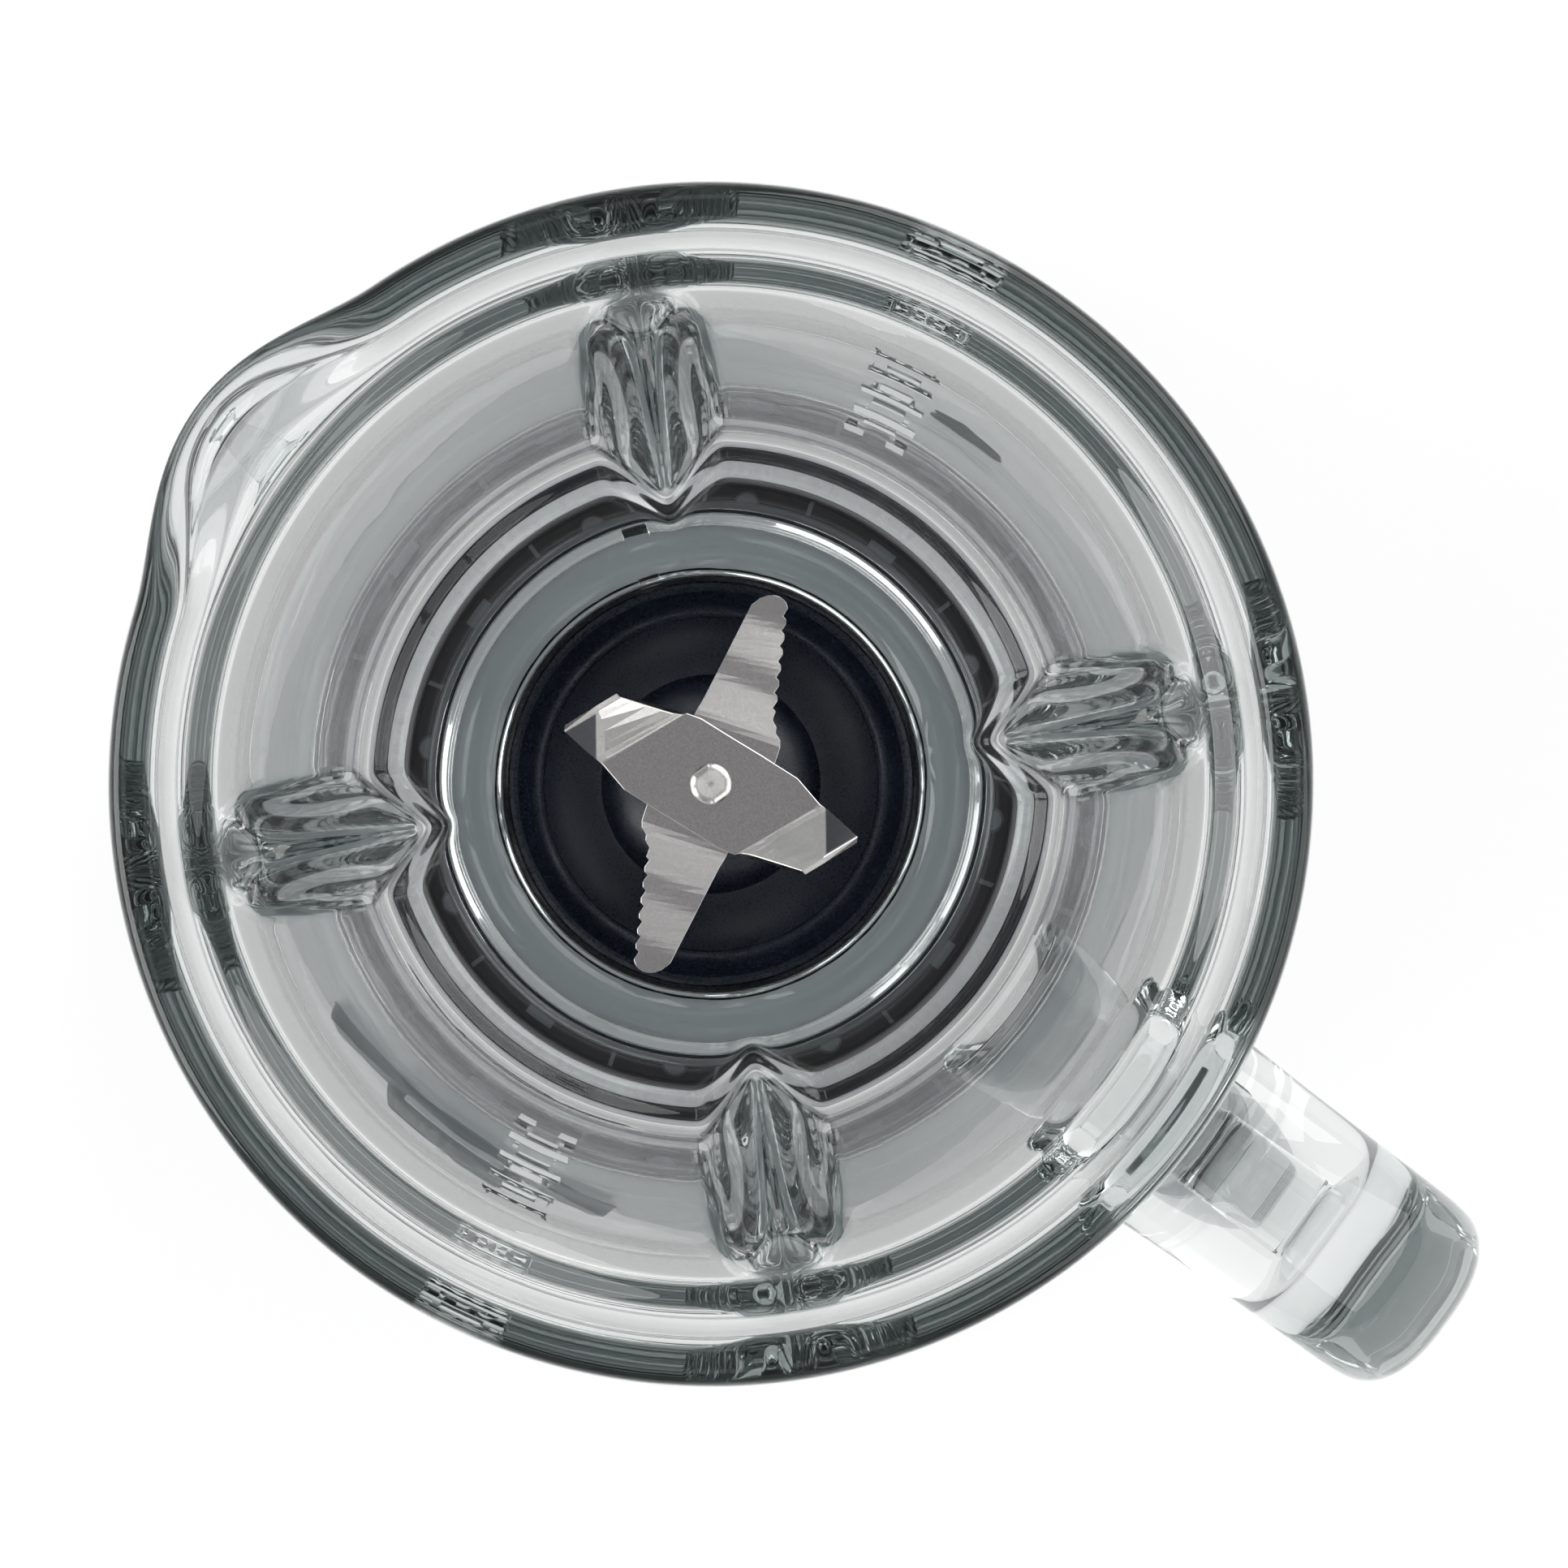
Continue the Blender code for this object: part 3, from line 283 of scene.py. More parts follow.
# Rows of both tables: radius, depth below the rim, rib depth, spout reach, spout dip, rib half width
JUG_INSIDE = [
    (31.2, 206.6, 0.0, 0.0, 0.0, 8.9),
    (31.2, 198.0, 0.0, 0.0, 0.0, 8.9),
    (31.2, 189.4, 0.0, 0.0, 0.0, 8.9),
    (31.5, 187.5, 0.0, 0.0, 0.0, 8.9),
    (32.3, 186.1, 0.1, 0.0, 0.0, 8.9),
    (33.6, 185.3, 0.4, 0.0, 0.0, 8.9),
    (35.4, 185.05, 1.1, 0.0, 0.0, 8.9),
    (38.8, 185.0, 3.2, 0.0, 0.0, 8.9),
    (42.2, 185.0, 5.0, 0.0, 0.0, 8.9),
    (45.7, 184.9, 6.4, 0.0, 0.0, 8.9),
    (46.8, 184.4, 7.0, 0.0, 0.0, 8.9),
    (47.6, 183.3, 7.4, 0.0, 0.0, 8.9),
    (48.2, 182.3, 7.6, 0.0, 0.0, 8.9),
    (49.0, 181.8, 7.8, 0.0, 0.0, 8.9),
    (50.1, 181.4, 8.2, 0.0, 0.0, 8.9),
    (50.9, 180.4, 8.4, 0.0, 0.0, 8.9),
    (51.3, 178.2, 8.5, 0.0, 0.0, 8.9),
    (51.6, 172.0, 8.6, 0.0, 0.0, 8.9),
    (52.1, 164.0, 8.5, 0.0, 0.0, 8.8),
    (53.1, 150.0, 8.2, 0.0, 0.0, 8.8),
    (55.4, 118.0, 7.5, 0.0, 0.0, 8.6),
    (57.6, 86.0, 6.8, 0.0, 0.0, 8.3),
    (59.6, 58.0, 6.0, 0.0, 0.0, 8.0),
    (60.7, 42.0, 5.4, 0.0, 0.0, 7.6),
    (61.5, 31.0, 4.6, 0.0, 0.0, 7.0),
    (62.0, 23.5, 3.4, 0.0, 0.0, 6.2),
    (62.3, 19.4, 1.8, 0.0, 0.0, 5.0),
    (62.5, 17.2, 0.3, 0.0, 0.0, 3.5),
    (62.8, 15.7, 0.0, 0.0, 0.0, 3.5),
    (63.5, 14.8, 0.0, 0.0, 0.0, 3.5),
    (64.5, 14.2, 0.0, 0.0, 0.0, 3.5),
    (65.6, 13.7, 0.0, 0.0, 0.0, 3.5),
    (66.5, 13.0, 0.0, 0.1, 0.1, 3.5),
    (67.1, 11.8, 0.0, 0.5, 0.3, 3.5),
    (67.7, 9.6, 0.0, 1.5, 0.6, 3.5),
    (68.2, 6.0, 0.0, 3.0, 1.2, 3.5),
    (68.6, 2.6, 0.0, 4.8, 1.9, 3.5),
    (68.9, 1.0, 0.0, 5.4, 2.2, 3.5),
    (69.5, 0.25, 0.0, 5.6, 2.3, 3.5),
    (70.6, 0.0, 0.0, 5.6, 2.2, 3.5),
    (72.2, 0.0, 0.0, 5.4, 2.0, 3.5),
    (73.7, 0.1, 0.0, 5.1, 1.8, 3.5),
    (74.6, 0.7, 0.0, 4.8, 1.6, 3.5),
]
JUG_OUTSIDE = [
    (75.0, 2.4, 0.0, 4.6, 1.2, 3.5),
    (75.2, 5.0, 0.0, 4.3, 0.7, 3.5),
    (74.8, 9.0, 0.0, 3.6, 0.4, 3.5),
    (73.4, 14.5, 0.0, 2.2, 0.1, 3.5),
    (71.4, 21.0, 0.0, 0.9, 0.0, 3.5),
    (69.3, 28.5, 0.0, 0.2, 0.0, 3.5),
    (67.6, 36.0, 0.0, 0.0, 0.0, 5.0),
    (66.6, 44.0, 0.0, 0.0, 0.0, 6.0),
    (65.4, 58.0, 0.2, 0.0, 0.0, 6.6),
    (63.1, 86.0, 0.6, 0.0, 0.0, 7.0),
    (60.8, 118.0, 0.9, 0.0, 0.0, 7.2),
    (58.6, 150.0, 1.2, 0.0, 0.0, 7.4),
    (57.4, 167.0, 1.4, 0.0, 0.0, 7.4),
    (56.5, 176.0, 1.5, 0.0, 0.0, 7.4),
    (54.9, 181.4, 1.5, 0.0, 0.0, 7.4),
    (52.7, 185.2, 1.4, 0.0, 0.0, 7.4),
    (51.0, 187.9, 1.2, 0.0, 0.0, 7.4),
    (49.6, 189.9, 1.0, 0.0, 0.0, 7.4),
    (48.3, 190.8, 0.8, 0.0, 0.0, 7.4),
    (45.0, 191.0, 0.4, 0.0, 0.0, 7.4),
    (42.2, 191.1, 0.1, 0.0, 0.0, 7.4),
    (41.0, 191.8, 0.0, 0.0, 0.0, 7.4),
    (40.5, 194.0, 0.0, 0.0, 0.0, 7.4),
    (40.5, 200.0, 0.0, 0.0, 0.0, 7.4),
    (40.5, 206.6, 0.0, 0.0, 0.0, 7.4),
]


def angle_between(first, second):
    """Smallest turn from one direction to another, in degrees."""
    return abs((first - second + 180.0) % 360.0 - 180.0)


def rib_share(angle, radius, half_width):
    """1 on a rib's ridge and 0 at its sides, with straight flanks and a rounded ridge."""
    away = min(angle_between(angle, rib) for rib in RIB_ANGLES)
    across = math.radians(away) * radius / half_width
    rounded = math.sqrt(across ** 2 + RIDGE_ROUNDING ** 2) - RIDGE_ROUNDING
    flat = math.sqrt(1.0 + RIDGE_ROUNDING ** 2) - RIDGE_ROUNDING
    return max(0.0, 1.0 - rounded / flat)


def spout_share(angle):
    """1 at the middle of the spout and 0 beside it."""
    away = angle_between(angle, SPOUT_ANGLE) / SPOUT_HALF_ANGLE
    return (0.5 + 0.5 * math.cos(math.pi * away)) ** SPOUT_FULLNESS if away < 1.0 else 0.0


def jug_point(angle, station):
    """Point of the wall at an angle, for one row of the jug's tables."""
    radius, depth, rib, reach, dip, half_width = station
    spout = spout_share(angle)
    wall = radius - rib * rib_share(angle, radius, half_width) + reach * spout
    x, y = polar(wall * MM, angle)
    return x, y, RIM_TOP - (depth + dip * spout) * MM


def jug_body(look):
    """Wall, ribs, spout, floor and neck in one closed skin, rounded by subdivision."""
    mesh = bmesh.new()
    rings = []
    for station in JUG_INSIDE + JUG_OUTSIDE:
        rings.append([mesh.verts.new(jug_point(360.0 * step / JUG_SEGMENTS, station))
                      for step in range(JUG_SEGMENTS)])
    for lower, upper in zip(rings, rings[1:] + rings[:1]):
        join_rings(mesh, lower, upper)
    body = as_object("jug_body", mesh, look, None)
    add_modifier(body, "SUBSURF", levels=2, render_levels=2)
    return apply_modifiers(body)


def smooth_path(points, steps):
    """Points on a smooth curve through the given ones, with so many steps from each to the next."""
    padded = [points[0] * 2 - points[1]] + points + [points[-1] * 2 - points[-2]]
    result = []
    for first, start, end, last in zip(padded, padded[1:], padded[2:], padded[3:]):
        for step in range(steps):
            t = step / steps
            result.append(0.5 * (start * 2 + (end - first) * t
                                 + (first * 2 - start * 5 + end * 4 - last) * t ** 2
                                 + (start * 3 - first - end * 3 + last) * t ** 3))
    return result + [points[-1]]


def bar_section(half_width, half_depth):
    """Rounded rectangle as (across, deep) pairs."""
    section = []
    for step in range(BAR_POINTS):
        angle = math.tau * (step + 0.5) / BAR_POINTS
        cosine, sine = math.cos(angle), math.sin(angle)
        section.append((half_width * math.copysign(abs(cosine) ** (2 / BAR_SQUARENESS), cosine),
                        half_depth * math.copysign(abs(sine) ** (2 / BAR_SQUARENESS), sine)))
    return section


def handle_bar(name, route, half_depths, look, foot=()):
    """Solid bar along a path in the XZ plane; the foot gives (height, scale) of closing sections."""
    path = smooth_path([Vector((*point, deep)) * MM for point, deep in zip(route, half_depths)], BAR_STEPS)
    mesh = bmesh.new()
    rings = []
    for index, station in enumerate(path):
        before, after = path[max(index - 1, 0)], path[min(index + 1, len(path) - 1)]
        along = Vector((after.x - before.x, 0.0, after.y - before.y)).normalized()
        if index == 0:
            along = Vector((math.copysign(1.0, along.x), 0.0, 0.0))
        inward = along.cross(Vector((0.0, 1.0, 0.0)))
        half_width = HANDLE_WIDTH / 2 * MM + BAR_WIDENING * (station.z - HANDLE_HALF_DEPTH * MM)
        centre = Vector((station.x, 0.0, station.y))
        rings.append([mesh.verts.new(centre + Vector((0.0, across, 0.0)) + inward * deep)
                      for across, deep in bar_section(half_width, station.z)])
    middle = path[-1].x
    last = rings[-1]
    for height, scale in foot:
        rings.append([mesh.verts.new((middle + (vert.co.x - middle) * scale, vert.co.y * scale, height * MM))
                      for vert in last])
    for first, second in zip(rings, rings[1:]):
        join_rings(mesh, first, second)
    mesh.faces.new(rings[0])
    mesh.faces.new(rings[-1])
    return as_object(name, mesh, look, None)


def jug_handle(look):
    """Upright grip that hangs from an upper arm, with a level lower arm joined into it."""
    grip_route = [(65.0, 325.0), (82.0, 326.0), (99.5, 322.8), (109.6, 309.0), (110.7, 286.0), (110.7, 240.0),
                  (110.7, 198.0)]
    grip_foot = ((195.0, 0.985), (193.9, 0.95), (193.4, 0.90))
    grip = handle_bar("grip", grip_route, (15.5, 11.0, 9.3, 9.2, 9.0, 9.0, 9.0), look, grip_foot)
    arm_route = [(55.6, 201.5), (72.0, 202.6), (90.0, 203.4), (111.0, 203.6)]
    arm = handle_bar("lower_arm", arm_route, (13.5, 10.6, 9.6, 9.4), look)
    return carve(grip, [arm], "UNION")


def raised_marks(look):
    """Capacity lines and numerals standing out of the wall on both sides of the handle."""
    marks = []
    for side in MARK_SIDES:
        for step in range(1, MARK_COUNT + 1):
            height = MARK_START + 13.2 * step - 0.28 * step * step
            depth = RIM_TOP / MM - height
            radius = 61.5 - (depth - 86.0) * 0.0795
            numbered = step % 2 == 0
            parts = [prism("line", rounded_outline(5.0 if numbered else 2.6, 0.4, 0.38, 3), -0.8, 0.45)]
            if numbered:
                parts.append(number(str(step * MARK_VOLUME), 5.2, 0.0, 4.0, -0.8, 1.2))
            stand = turn(side) @ shift(radius + 1.5, 0.0, height) @ FACING_OUT
            marks += [place(part, stand) for part in parts]
    return dressed(merged("raised_marks", marks), look)


def glass_jug():
    """Jug, handle, thread start and capacity marks as one body of glass."""
    look = glass_look("clear_glass")
    body = jug_body(look)
    thread_start = sector_block("thread_start", 36.5, 40.7, 143.0, 5.5, 151.0, 155.0, look)
    carve(body, [jug_handle(look), thread_start, raised_marks(look)], "UNION")
    body.name = "pressed_glass_jug"
    body.data.shade_smooth()
    return stands_for(body, "jug", "clear_glass", "glass_jug")


# ---------------------------------------------------------------- shared shapes

def turned(name, profile, look, segments=128, smooth_angle=SMOOTH_ANGLE):
    """Turn a closed (radius, height) outline in mm about Z; radius 0 becomes a pole."""
    mesh = bmesh.new()
    rings = []
    for radius, height in profile:
        if radius == 0.0:
            rings.append([mesh.verts.new((0.0, 0.0, height * MM))])
        else:
            rings.append([mesh.verts.new((*polar(radius * MM, 360.0 * step / segments), height * MM))
                          for step in range(segments)])
    for lower, upper in zip(rings, rings[1:] + rings[:1]):
        if len(lower) > 1 or len(upper) > 1:
            join_rings(mesh, lower, upper)
    return as_object(name, mesh, look, smooth_angle)


def rounded_outline(half_x, half_y, corner, steps=10):
    """Rectangle with round corners, in mm."""
    outline = []
    for quarter, (side_x, side_y) in enumerate(((1, 1), (-1, 1), (-1, -1), (1, -1))):
        for step in range(steps + 1):
            x, y = polar(corner, 90.0 * (quarter + step / steps))
            outline.append((side_x * (half_x - corner) + x, side_y * (half_y - corner) + y))
    return outline


def lofted(name, layers, look, smooth_angle=SMOOTH_ANGLE):
    """Closed solid through outlines of equal point counts, each given with its height in mm."""
    mesh = bmesh.new()
    rings = [[mesh.verts.new((x * MM, y * MM, height * MM)) for x, y in outline]
             for outline, height in layers]
    for lower, upper in zip(rings, rings[1:]):
        join_rings(mesh, lower, upper)
    mesh.faces.new(rings[0])
    mesh.faces.new(rings[-1])
    return as_object(name, mesh, look, smooth_angle)


def prism(name, outline, low, high, look=None):
    """Straight solid on an outline, between two heights in mm."""
    return lofted(name, [(outline, low), (outline, high)], look)


def cylinder(name, radius, low, high, segments):
    """Plain cylinder about Z, in mm, without a look."""
    return turned(name, [(0.0, low), (radius, low), (radius, high), (0.0, high)], None, segments)


def soft_edges(piece, width, angle):
    """Round a piece's edges that are sharper than an angle, by a width in mm."""
    add_modifier(piece, "BEVEL", width=width * MM, segments=2, limit_method="ANGLE",
                 angle_limit=math.radians(angle), harden_normals=False)
    return apply_modifiers(piece)


def carve(piece, tools, operation="DIFFERENCE", solver="MANIFOLD"):
    """Apply one boolean per tool and delete the tools."""
    for tool in tools:
        add_modifier(piece, "BOOLEAN", operation=operation, object=tool, solver=solver)
        apply_modifiers(piece)
        bpy.data.objects.remove(tool, do_unlink=True)
    return piece


def sector_block(name, inner, outer, mid_angle, width_angle, low, high, look, steps=3):
    """Block between two radii (mm) over an arc of degrees."""
    angles = [mid_angle + width_angle * (step / steps - 0.5) for step in range(steps + 1)]
    outline = [polar(outer, angle) for angle in angles] + [polar(inner, angle) for angle in reversed(angles)]
    return prism(name, outline, low, high, look)


def place(piece, matrix):
    """Move the mesh itself, so that the object stays at the origin."""
    piece.data.transform(matrix)
    return piece


def merged(name, pieces):
    """Join several meshes into one object."""
    mesh = bmesh.new()
    for piece in pieces:
        mesh.from_mesh(piece.data)
    look = pieces[0].data.materials[0] if pieces[0].data.materials else None
    for piece in pieces:
        bpy.data.objects.remove(piece, do_unlink=True)
    return as_object(name, mesh, look)


def crisp(piece):
    """Shade flat faces flat up to the chamfers and cuts that border them."""
    piece.data.set_sharp_from_angle(angle=math.radians(CRISP_ANGLE))
    add_modifier(piece, "WEIGHTED_NORMAL", keep_sharp=True)
    return apply_modifiers(piece)


def stands_for(piece, body, slot, *nodes):
    """Tie a finished piece to its body and hide the CAD nodes it replaces; the slot is not used."""
    if body in ("base", "dial", "pulse"):
        crisp(piece)
    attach(piece, body)
    if nodes:
        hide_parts(*nodes)
    return piece


# ---------------------------------------------------------------- blades

PLATE_THICKNESS = 1.5
UPPER_PLATE = 178.85
LOWER_PLATE = 177.0
UPPER_TURN = 3.6
LOWER_TURN = 104.3
TEETH = 7
TOOTH_DEPTH = 0.62
SLOPE_STEP = 0.1
LOWER_SLOPES = ((8.0, 0.0), (10.0, 9.5), (14.5, 9.5), (16.0, 3.0), (18.5, 3.0), (20.0, 9.5), (24.0, 9.5),
                (26.0, 2.0), (60.0, 2.0))       # distance from the axis, slope


def sheet(name, rows, look, smooth_angle=20.0):
    """Sheet-metal surface through rows of points in mm, thickened about its middle."""
    mesh = bmesh.new()
    made = [[mesh.verts.new(Vector(point) * MM) for point in row] for row in rows]
    for first, second in zip(made, made[1:]):
        for index in range(len(first) - 1):
            mesh.faces.new((first[index], second[index], second[index + 1], first[index + 1]))
    piece = as_object(name, mesh, look, smooth_angle)
    add_modifier(piece, "SOLIDIFY", thickness=PLATE_THICKNESS * MM, offset=0.0)
    return apply_modifiers(piece)


def with_half_turn(half):
    """Rows of half a blade, from its tip to its middle, completed by the same rows turned round."""
    other = [[(-x, -y, z) for x, y, z in reversed(row)] for row in reversed(half)]
    return half + other


def between(first, second, share):
    """Point part of the way from one to the other."""
    return tuple(a + (b - a) * share for a, b in zip(first, second))


WING_BEND = ((16.1, 6.0, 0.0), (9.6, -6.3, 0.0))
WING_END = ((22.8, 4.8, 6.6), (18.6, -3.7, 5.0))
FACET_SHARE = 0.55
FACET_DIRECTION = 32.65
FACET_REACH = 16.9
FACET_BLUR = 0.25
WING_DIRECTION = -27.1
WING_REACH = 17.4
WING_BLUR = 0.2


def reach_along(tree, direction):
    """Distance from the axis along a direction of the upper blade, the same on either side."""
    coords = tree.nodes.new("ShaderNodeTexCoord")
    along = tree.nodes.new("ShaderNodeVectorMath")
    along.operation = "DOT_PRODUCT"
    along.inputs[1].default_value = (*polar(1.0, direction + UPPER_TURN), 0.0)
    tree.links.new(coords.outputs["Object"], along.inputs[0])
    either_side = tree.nodes.new("ShaderNodeMath")
    either_side.operation = "ABSOLUTE"
    tree.links.new(along.outputs["Value"], either_side.inputs[0])
    return either_side.outputs["Value"]


def ground_facets(look):
    """Copy of the blade steel with a painted dark reflection on the ground facets of the wings' leading
    corners.
    """
    look = look.copy()
    look.name = "blade_steel_painted_facet_shade"
    tree = look.node_tree
    shader = tree.nodes["Principled BSDF"]
    plain = shader.inputs["Base Color"].links[0].from_socket
    across = reach_along(tree, FACET_DIRECTION)
    edge = remap(tree, across, 0.0, 1.0, FACET_REACH * MM, (FACET_REACH + FACET_BLUR) * MM)
    outward = reach_along(tree, WING_DIRECTION)
    inside = remap(tree, outward, 1.0, 0.0, WING_REACH * MM, (WING_REACH + WING_BLUR) * MM)
    both = tree.nodes.new("ShaderNodeMath")
    both.operation = "MULTIPLY"
    tree.links.new(edge, both.inputs[0])
    tree.links.new(inside, both.inputs[1])
    mix = tree.nodes.new("ShaderNodeMix")
    mix.data_type = "RGBA"
    tree.links.new(both.outputs["Value"], mix.inputs["Factor"])
    tree.links.new(plain, mix.inputs["A"])
    # Painted dark reflection: the facets are darkened to this grey.
    mix.inputs["B"].default_value = (0.13, 0.13, 0.14, 1.0)
    tree.links.new(mix.outputs["Result"], shader.inputs["Base Color"])
    return look


def upper_blade(look):
    """Six-sided plate; its wings bend up, and each leading corner is ground to a facet."""
    lead, trail = WING_BEND
    end_lead, end_trail = WING_END

    def wing_row(share):
        front, back = between(lead, end_lead, share), between(trail, end_trail, share)
        x, y, z = front
        ground = (x, y, z - 3.4 * share)
        return [ground, between(front, back, FACET_SHARE * share + 0.06), back]

    flat = [[(15.7, 6.1, 0.0), (15.2, 5.0, 0.0), (9.2, -6.45, 0.0)],
            [(15.2, 6.25, 0.0), (14.6, 4.8, 0.0), (8.7, -6.95, 0.0)],
            [(10.4, 7.7, 0.0), (9.6, 2.6, 0.0), (6.4, -7.45, 0.0)],
            [(4.0, 7.65, 0.0), (3.6, 1.2, 0.0), (2.0, -7.5, 0.0)]]
    wing = [wing_row(share) for share in (1.0, 0.8, 0.55, 0.3, 0.12)]
    rows = [[(x, y, z + UPPER_PLATE) for x, y, z in row] for row in wing + flat]
    return sheet("winged_upper_blade", with_half_turn(rows), look, 6.0)


def lower_height(reach):
    """The long blade droops, a little less steeply across its middle, and levels off at the tip."""
    height, start = LOWER_PLATE, LOWER_SLOPES[0][0]
    while start < reach:
        slope = next(first[1] + (second[1] - first[1]) * (start - first[0]) / (second[0] - first[0])
                     for first, second in zip(LOWER_SLOPES, LOWER_SLOPES[1:])
                     if first[0] <= start <= second[0])
        height -= math.tan(math.radians(slope)) * SLOPE_STEP
        start += SLOPE_STEP
    return height


def lower_blade(look):
    """Long drooping blade with a plain back, and a toothed edge that ends in two waves."""
    outline = [((29.7, 0.9), (29.6, 1.8)), ((29.5, 0.2), (29.2, 2.7)), ((29.2, -0.3), (28.4, 3.6)),
               ((28.7, -0.75), (27.4, 4.2))]
    for tooth in range(TEETH):
        for part, notch in ((0.02, 0.0), (0.45, 0.75), (0.58, 1.0), (0.72, 0.15)):
            share = (tooth + part) / TEETH
            outline.append(((28.5 - share * 15.6, -0.85 - share * 4.3 + TOOTH_DEPTH * notch),
                            (27.1 - share * 16.0, 4.4 + share * 1.4)))
    outline += [((12.7, -4.9), (10.9, 5.85)), ((12.1, -4.95), (10.5, 5.9)), ((11.3, -5.9), (10.0, 6.0)),
                ((10.5, -6.1), (9.4, 6.1)), ((9.8, -7.1), (8.8, 6.15)), ((8.9, -7.5), (8.0, 6.2)),
                ((7.6, -7.6), (7.0, 6.3)), ((5.8, -7.7), (5.4, 6.4)), ((2.4, -6.6), (2.4, 6.5))]
    rows = []
    for edge, back in outline:
        rows.append([(x, y, lower_height(x)) for x, y in
                     (between(edge, back, share) for share in (0.0, 0.2, 0.6, 1.0))])
    return sheet("serrated_lower_blade", with_half_turn(rows), look)


def drilled(blade, low, high):
    """Blade with the spindle's hole cut through it."""
    return carve(blade, [cylinder("blade_hole", 2.8, low, high, 48)])


def blade_cap(look):
    """Riveted head on the spindle: round with two flats, and lightly dished."""
    outline = []
    for step in range(96):
        x, y = polar(3.05, 360.0 * step / 96)
        outline.append((x, max(-2.75, min(2.75, y))))
    layers = [([(x * scale, y * scale) for x, y in outline], height)
              for scale, height in ((1.0, 179.9), (1.0, 182.2), (0.98, 182.4), (0.93, 182.52), (0.62, 182.67),
                                    (0.31, 182.82), (0.03, 182.95))]
    cap = lofted("riveted_cap", layers, look, 35.0)
    carve(cap, [cylinder("cap_bore", 2.55, 179.0, 181.1, 48)])
    return place(cap, turn(72.0))


def blades(looks):
    """Both blades and the cap that holds them."""
    steel = looks["blade_steel"]
    upper = drilled(upper_blade(ground_facets(steel)), 177.2, 180.6)
    lower = drilled(lower_blade(steel), 175.2, 178.6)
    for blade, rounding, angle, node in ((upper, 0.22, UPPER_TURN, "upper_blade"),
                                         (lower, 0.16, LOWER_TURN, "lower_blade")):
        soft_edges(blade, rounding, 38.0)
        blade.data.shade_flat()
        place(blade, turn(angle))
        stands_for(blade, "blades", "blade_steel", node)
    stands_for(blade_cap(steel), "blades", "bright_steel", "blade_nut")


# ---------------------------------------------------------------- blade seat and collar

def blade_seat(looks):
    """Dished plug: rolled lip, shallow bowl with two fine rings, and a dome round the bearing."""
    profile = [(6.4, 141.0), (11.0, 141.0), (11.6, 146.5), (28.0, 146.5), (30.2, 144.4), (40.5, 144.4),
               (40.5, 147.9), (30.8, 147.9), (30.8, 156.4), (30.5, 157.0), (29.9, 157.2), (29.3, 156.9),
               (28.4, 155.3), (27.4, 154.0), (26.4, 153.1), (25.75, 152.75), (25.55, 152.7), (25.35, 152.35),
               (24.4, 152.0), (22.6, 151.6), (20.0, 151.3), (17.6, 151.2), (16.7, 151.3), (16.4, 151.6),
               (15.9, 152.3), (15.0, 153.0), (13.6, 153.8), (12.0, 154.5), (10.4, 155.0), (9.3, 155.4),
               (8.9, 156.0), (8.75, 159.2), (8.4, 159.8), (7.9, 160.0), (7.5, 159.9), (7.5, 157.9),
               (6.4, 157.9)]
    seat = turned("dished_blade_seat", profile, looks["navy_plastic"], 160, 30.0)
    stands_for(seat, "neck_collar", "navy_plastic", "blade_seat")


def collar(looks):
    """Collar with finger grips round its side and an open channel round its top."""
    look = looks["black_plastic"]
    profile = [(30.0, 140.3), (45.8, 140.3), (46.7, 140.7), (47.0, 141.6), (47.0, 143.4), (46.4, 143.9),
               (46.4, 162.0), (47.0, 162.8), (46.8, 164.4), (46.2, 165.1), (45.7, 165.2), (45.4, 164.8),
               (45.4, 156.0), (42.9, 156.0), (42.9, 162.6), (41.9, 162.6), (41.9, 144.1), (30.0, 144.1)]
    details = [sector_block("tab", 40.8, 42.4, angle, LUG_WIDTH, 156.0, 159.4, look, 12)
               for angle in LUG_ANGLES]
    details += [sector_block("grip", 46.0, 46.95, 360.0 * grip / COLLAR_GRIPS, 2.6, 144.6, 161.4, look)
                for grip in range(COLLAR_GRIPS)]
    ring = turned("ribbed_collar", profile, look, 180, 35.0)
    stands_for(merged("ribbed_collar", [ring] + details), "neck_collar", "black_plastic", "collar")


def collar_lip():
    """Guide ring on the collar's inner wall, with stops and thin webs across the channel, in black plastic
    made paler as painted light.
    """
    low, high = 162.8, 164.8
    # Painted light: a paler copy of the black plastic, lighter where light falls on the lip and its stops.
    look = textured_look("lip_painted_light", (0.105, 0.115, 0.125), (0.130, 0.142, 0.152), (0.34, 0.46),
                         grain=3500.0, depth=0.010)
    outline = [(41.0, low), (42.6, low), (42.6, high - 0.3), (42.3, high), (41.2, high), (41.0, high - 0.2)]
    stop_profile = [(0.0, low), (1.9, low), (1.9, high - 0.6), (1.5, high - 0.1), (0.0, high)]
    details = []
    for quarter in range(4):
        middle = 90.0 * quarter
        details.append(sector_block("square_stop", 42.0, 44.1, middle, 6.0, low, high - 0.1, look))
        for side in (-1, 1):
            stop = turned("round_stop", stop_profile, look, 24)
            details.append(place(stop, shift(*polar(42.6, middle + side * 29.0), 0.0)))
            for away in (16.5, 38.0):
                details.append(sector_block("web", 42.3, 45.3, middle + side * away, 0.9, low, high - 0.4,
                                            look))
    ring = turned("guide_ring", outline, look, 180, 35.0)
    stands_for(merged("collar_guide_ring", [ring] + details), "neck_collar", "black_plastic")


# ---------------------------------------------------------------- motor base

